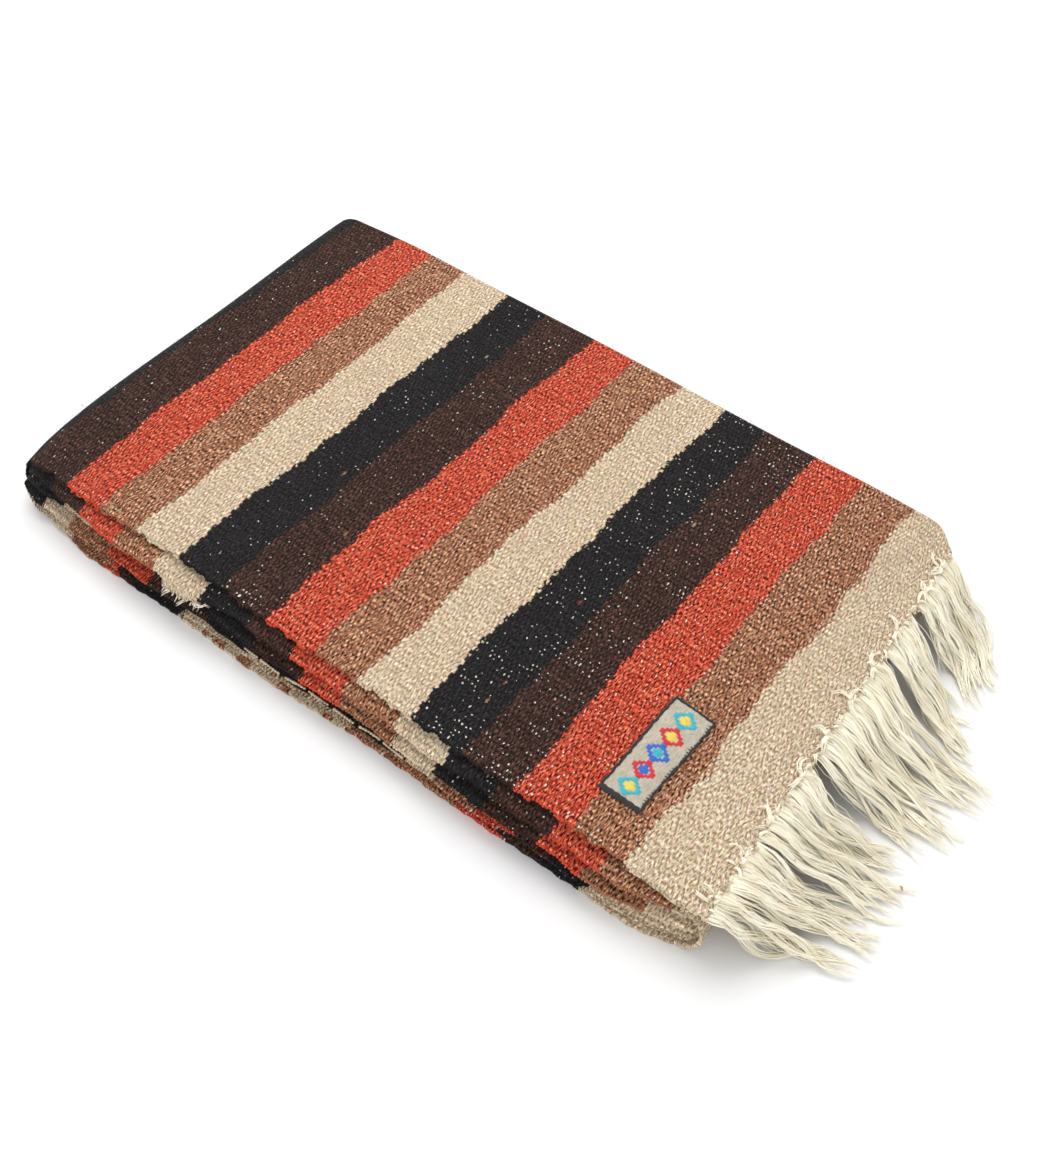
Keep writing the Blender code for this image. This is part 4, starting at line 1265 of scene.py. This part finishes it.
tuft_lines, tuft_spread = [], []
for number in range(SCRAP_TUFTS):
    x = INNER_END_LEFT + (INNER_END_RIGHT - INNER_END_LEFT) * (number + 0.5) / SCRAP_TUFTS
    root = place(x, -near_row(0, x, 2) - 0.0012, SCRAP_BOTTOM)
    length = 0.0036 + 0.0022 * math.sin(2.1 * number)
    share = np.linspace(0, 1, 7)[:, None]
    way = INNER_WAY + np.array([0.9 * math.sin(4.3 * number), 0.0, 0.3 * math.sin(2.9 * number)])
    droop = np.array([0.0, 0.0, -1.0]) * 0.35 * share ** 2
    tuft_lines.append(root + (way * share + droop) * length)
    tuft_spread.append(np.full(7, 0.0024))
for start_x, end_x, start_z, end_z in LOOSE_THREADS:
    share = np.linspace(0, 1, 7)
    xs = start_x + (end_x - start_x) * share
    out = 0.0022 + 0.0012 * np.sin(5 * share + 40 * start_x)
    hanging = start_z + (end_z - start_z) * share + 0.0022 * np.sin(9 * share + 3)
    tuft_lines.append(place(xs, -near_row(0, xs, 2) - out, hanging))
    tuft_spread.append(np.full(7, 0.0007))
scrap_seeds = seed_lines("inner_end_yarns", tuft_lines, spread=tuft_spread)
scrap_yarns = grown("inner_end_yarns", scrap_seeds, strand_tree, {
    "Yarns in a lock": 4, "Yarn thickness": 0.0007, "Depth share": 0.5,
    "Crimp": 0.0060, "Shortest": 0.4, "Sides": 4, "Lowest": 0.0009, "Twist": 0.0, "Seed": 9,
})
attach(scrap_yarns, "root")


# The label: a fine beige woven ribbon sewn flat on the top ply near the fringe, inside a dark
# bound edge of close stitches, with a plain row of five lozenges embroidered along it.

LABEL_LENGTH = 0.100
LABEL_WIDTH = 0.035
LABEL_X = 0.233
LABEL_Y = -0.125
LABEL_THICKNESS = 0.0008
LABEL_LIFT = 0.0006
BORDER_LEFT = 0.0017
BORDER_RIGHT = 0.0012
BORDER_NEAR = 0.0042
BORDER_FAR = 0.0016
label_left, label_right = LABEL_X - LABEL_WIDTH / 2, LABEL_X + LABEL_WIDTH / 2
label_near, label_far = LABEL_Y - LABEL_LENGTH / 2, LABEL_Y + LABEL_LENGTH / 2


def label_point(x, y, lift=0.0):
    """A point on the label: its sides wander a little where the stitches pull."""
    x, y = np.broadcast_arrays(np.asarray(x, float), y)
    side = np.clip((x - LABEL_X) / (LABEL_WIDTH / 2), -1, 1)
    pull = 0.00030 * np.sin(y * 520 + 3 * side) * np.abs(side) ** 3 + 0.0004 * np.sin(y * 61 + 1) * side
    cockle = 0.00022 * np.sin(y * 330) * np.abs(side) ** 2 + 0.00018 * np.sin(x * 260 + y * 120)
    return top_surface(x + pull, y, LABEL_LIFT + LABEL_THICKNESS + cockle + lift)


def ribbon_finish():
    """Fine satin ribbon, with a thread's width of streak along its length."""
    material, nodes = new_finish("label_ribbon_satin")
    where = nodes.add("ShaderNodeTexCoord").outputs["Object"]
    drawn_out = nodes.vector("MULTIPLY", where, (1.0, 0.12, 1.0))
    streak = nodes.noise(drawn_out, 1900.0, 2.0)[0]
    broad = nodes.noise(where, 70.0, 2.0)[0]
    share = nodes.plus(nodes.times(streak, 0.8), nodes.times(broad, 0.3))
    colour = nodes.mix(nodes.step(share, 0.35, 0.75), seen(158, 147, 128), seen(194, 184, 166))
    east, north = nodes.parts(where)[:2]
    ribs = nodes.maths("SINE", nodes.times(north, 2 * math.pi / 0.00055))
    warps = nodes.maths("SINE", nodes.times(east, 2 * math.pi / 0.00045))
    height = nodes.plus(nodes.times(ribs, 0.5), nodes.plus(warps, streak))
    return complete(material, nodes, colour, {"Strength": 0.35, "Distance": 0.00015, "Height": height}, {
        "Roughness": 0.55, "Sheen Weight": 0.2,
    })


def thread_finish(name, colours):
    """Stitching thread: close twisted strands, in the dye that its stitches ask for."""
    material, nodes = new_finish(name)
    where = nodes.add("ShaderNodeTexCoord").outputs["Object"]
    dye = nodes.named("dye")
    colour = nodes.pick(nodes.over(nodes.plus(dye, 0.5), len(colours)), colours)
    tone = nodes.times_plus(nodes.noise(where, 1300.0)[0], 0.6, 0.7)
    colour = nodes.shaded(colour, tone)
    fibre = nodes.noise(where, 3200.0)[0]
    return complete(material, nodes, colour, {"Strength": 0.5, "Distance": 0.0002, "Height": fibre}, {
        "Roughness": 0.6, "Sheen Weight": 0.15,
    })


def make_ribbon():
    """The ribbon itself, to just inside its bound edge."""
    x = np.linspace(label_left + 0.0006, label_right - 0.0004, 22)[:, None]
    y = np.linspace(label_near + 0.0012, label_far - 0.0006, 60)[None, :]
    points = label_point(x[::-1], y)
    return grid_sheet("label_ribbon", points, 1 - x, 1 + y, 0 * x * y, 0.0)


ribbon = make_ribbon()
ribbon.data.materials.append(ribbon_finish())
thicken(ribbon, LABEL_THICKNESS)
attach(ribbon, "root")
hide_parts("label_face")

# Every stitch is a short raised thread between two points of the label
STITCH_PITCH = 0.00085
stitch_lines, stitch_dye = [], []


def stitch(start, end, rise, dye):
    """Add one thread that rises out of the label and goes back into it."""
    share = np.linspace(0, 1, 6)
    x = start[0] + (end[0] - start[0]) * share
    y = start[1] + (end[1] - start[1]) * share
    stitch_lines.append(label_point(x, y, rise * np.sin(math.pi * share) - 0.0002))
    stitch_dye.append(np.full(6, dye, float))


for y in np.arange(label_near + 0.0003, label_far, STITCH_PITCH):
    wander = 0.00025 * math.sin(900 * y)
    stitch((label_left - 0.0004, y), (label_left + BORDER_LEFT + wander, y + 0.0007), 0.0006, 0)
    stitch((label_right + 0.0003, y), (label_right - BORDER_RIGHT + wander, y + 0.0005), 0.0005, 0)
for x in np.arange(label_left + 0.0003, label_right, STITCH_PITCH):
    wander = 0.0003 * math.sin(1100 * x)
    stitch((x, label_near - 0.0004), (x + 0.0006, label_near + BORDER_NEAR + wander), 0.0008, 0)
    stitch((x, label_far + 0.0004), (x + 0.0005, label_far - BORDER_FAR + wander), 0.0006, 0)
for number, y in enumerate(np.arange(label_near + 0.008, label_far - 0.004, 0.0030)):
    reach = 0.0024 + 0.0008 * math.sin(7 * number)
    stitch((label_right - 0.0006, y), (label_right - reach, y + 0.0002), 0.0005, 0)
stitch_spread = [0 * dye for dye in stitch_dye]
edge_stitches = seed_lines("label_binding", stitch_lines, spread=stitch_spread, dye=stitch_dye)
binding_thread = thread_finish("label_binding_thread", [seen(36, 36, 38)])
binding_tree = yarn_tree("binding_threads", binding_thread)
binding = grown("label_binding", edge_stitches, binding_tree, {
    "Yarns in a lock": 1, "Yarn thickness": 0.0011, "Depth share": 0.0,
    "Crimp": 0.0, "Shortest": 1.0, "Sides": 5, "Lowest": 0.0009, "Seed": 1,
})
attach(binding, "root")
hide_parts("label_border")

LOZENGES = [
    # place along the label, dye of the outer lozenge, dye of the inner one
    (-0.036, 0, 3),
    (-0.018, 2, 1),
    (0.000, 1, 0),
    (0.018, 2, 3),
    (0.036, 0, 3),
]
LOZENGE_HALF_LENGTH = 0.0088
LOZENGE_HALF_WIDTH = 0.0098
LOZENGE_STEP = 0.0022
LOZENGE_STITCH_PITCH = 0.00062
LOZENGE_RING = 0.0046
MOTIF_COLORS = [seen(58, 176, 190), seen(52, 104, 196), seen(206, 44, 56), seen(228, 206, 84)]
stitch_lines, stitch_dye = [], []
for middle, outer_dye, inner_dye in LOZENGES:
    for offset in np.arange(-LOZENGE_HALF_LENGTH, LOZENGE_HALF_LENGTH, LOZENGE_STITCH_PITCH):
        stepped = math.floor(abs(offset) / LOZENGE_STEP) * LOZENGE_STEP
        half = LOZENGE_HALF_WIDTH * (1 - stepped / LOZENGE_HALF_LENGTH)
        inner = half - LOZENGE_RING
        y = LABEL_Y + middle + offset + LOZENGE_STEP * 0.05
        if inner < 0.001:
            stitch((LABEL_X - half, y), (LABEL_X + half, y), 0.0004, outer_dye)
            continue
        stitch((LABEL_X - half, y), (LABEL_X - inner, y), 0.0004, outer_dye)
        stitch((LABEL_X - inner + 0.0008, y), (LABEL_X + inner - 0.0008, y), 0.0004, inner_dye)
        stitch((LABEL_X + inner, y), (LABEL_X + half, y), 0.0004, outer_dye)
stitch_spread = [0 * dye for dye in stitch_dye]
motif_seeds = seed_lines("label_lozenges", stitch_lines, spread=stitch_spread, dye=stitch_dye)
motif_tree = yarn_tree("lozenge_threads", thread_finish("label_motif_thread", MOTIF_COLORS))
motif = grown("label_lozenges", motif_seeds, motif_tree, {
    "Yarns in a lock": 1, "Yarn thickness": 0.0008, "Depth share": 0.0,
    "Crimp": 0.0, "Shortest": 1.0, "Sides": 5, "Lowest": 0.0009, "Seed": 2,
})
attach(motif, "root")


# Fuzz: the loose wool's stray hairs, standing off the visible cloth all over at one even density.
# They are short bent fibres of the stripe that they grow from.

FUZZ_DENSITY = 14000
HAIR_LENGTH = 0.0042
HAIR_THICKNESS = 0.00016
LOWEST_FUZZ = 0.006


def fuzz_tree(material):
    """Short bent hairs scattered over a sheet, each leaning its own way."""
    inputs = [
        ("Hairs in a square metre", "NodeSocketFloat", FUZZ_DENSITY),
        ("Hair length", "NodeSocketFloat", HAIR_LENGTH),
        ("Seed", "NodeSocketInt", 4),
    ]
    tree, nodes, fed = new_geometry_tree("cloth_fuzz", inputs)
    scattered = nodes.fill(nodes.add("GeometryNodeDistributePointsOnFaces"), {
        "Mesh": fed["Geometry"], "Density": fed["Hairs in a square metre"], "Seed": fed["Seed"],
    })
    line = nodes.add("GeometryNodeCurvePrimitiveLine")
    line.inputs["End"].default_value = (0.0, 0.0, 1.0)
    bent = nodes.add("GeometryNodeResampleCurve", line.outputs[0])
    bent.inputs["Count"].default_value = 4
    factor = nodes.add("GeometryNodeSplineParameter").outputs["Factor"]
    lean = nodes.times(nodes.power(factor, 2.0), 0.8)
    curved = nodes.add("GeometryNodeSetPosition", bent.outputs[0])
    nodes.feed(curved.inputs["Offset"], nodes.joined(lean, 0.0, 0.0))
    profile = nodes.fill(nodes.add("GeometryNodeCurvePrimitiveCircle"), {
        "Resolution": 3, "Radius": HAIR_THICKNESS / HAIR_LENGTH / 2,
    })
    hair = nodes.add("GeometryNodeCurveToMesh", curved.outputs[0], profile.outputs[0])
    tilt = nodes.add("FunctionNodeRandomValue", data_type="FLOAT_VECTOR")
    tilt.inputs[0].default_value = (-1.2, -1.2, -3.1)
    tilt.inputs[1].default_value = (1.2, 1.2, 3.1)
    turned = nodes.add("FunctionNodeRotateRotation", scattered.outputs["Rotation"], rotation_space="LOCAL")
    nodes.feed(turned.inputs[1], tilt.outputs[0])
    size = nodes.add("FunctionNodeRandomValue", data_type="FLOAT")
    size.inputs[2].default_value = 0.45
    size.inputs[3].default_value = 1.25
    placed = nodes.fill(nodes.add("GeometryNodeInstanceOnPoints"), {
        "Points": scattered.outputs["Points"], "Instance": hair.outputs[0], "Rotation": turned.outputs[0],
        "Scale": nodes.times(size.outputs[1], fed["Hair length"]),
    })
    finish_tree(nodes, placed.outputs[0], material)
    return tree


def visible_cloth(name):
    """The outside of the top ply and the near folds as one bare sheet for the hairs to grow on."""
    shape = bmesh.new()
    for sheet in (outer_ply, near_plies):
        shape.from_mesh(sheet.data)
    hidden = [face for face in shape.faces if face.calc_center_median().z < LOWEST_FUZZ]
    bmesh.ops.delete(shape, geom=hidden, context="FACES")
    mesh = bpy.data.meshes.new(name)
    shape.to_mesh(mesh)
    shape.free()
    return mesh


fuzz = grown("cloth_fuzz", visible_cloth("cloth_fuzz"), fuzz_tree(loose_yarn), {
    "Hairs in a square metre": FUZZ_DENSITY, "Hair length": HAIR_LENGTH, "Seed": 4,
})
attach(fuzz, "root")
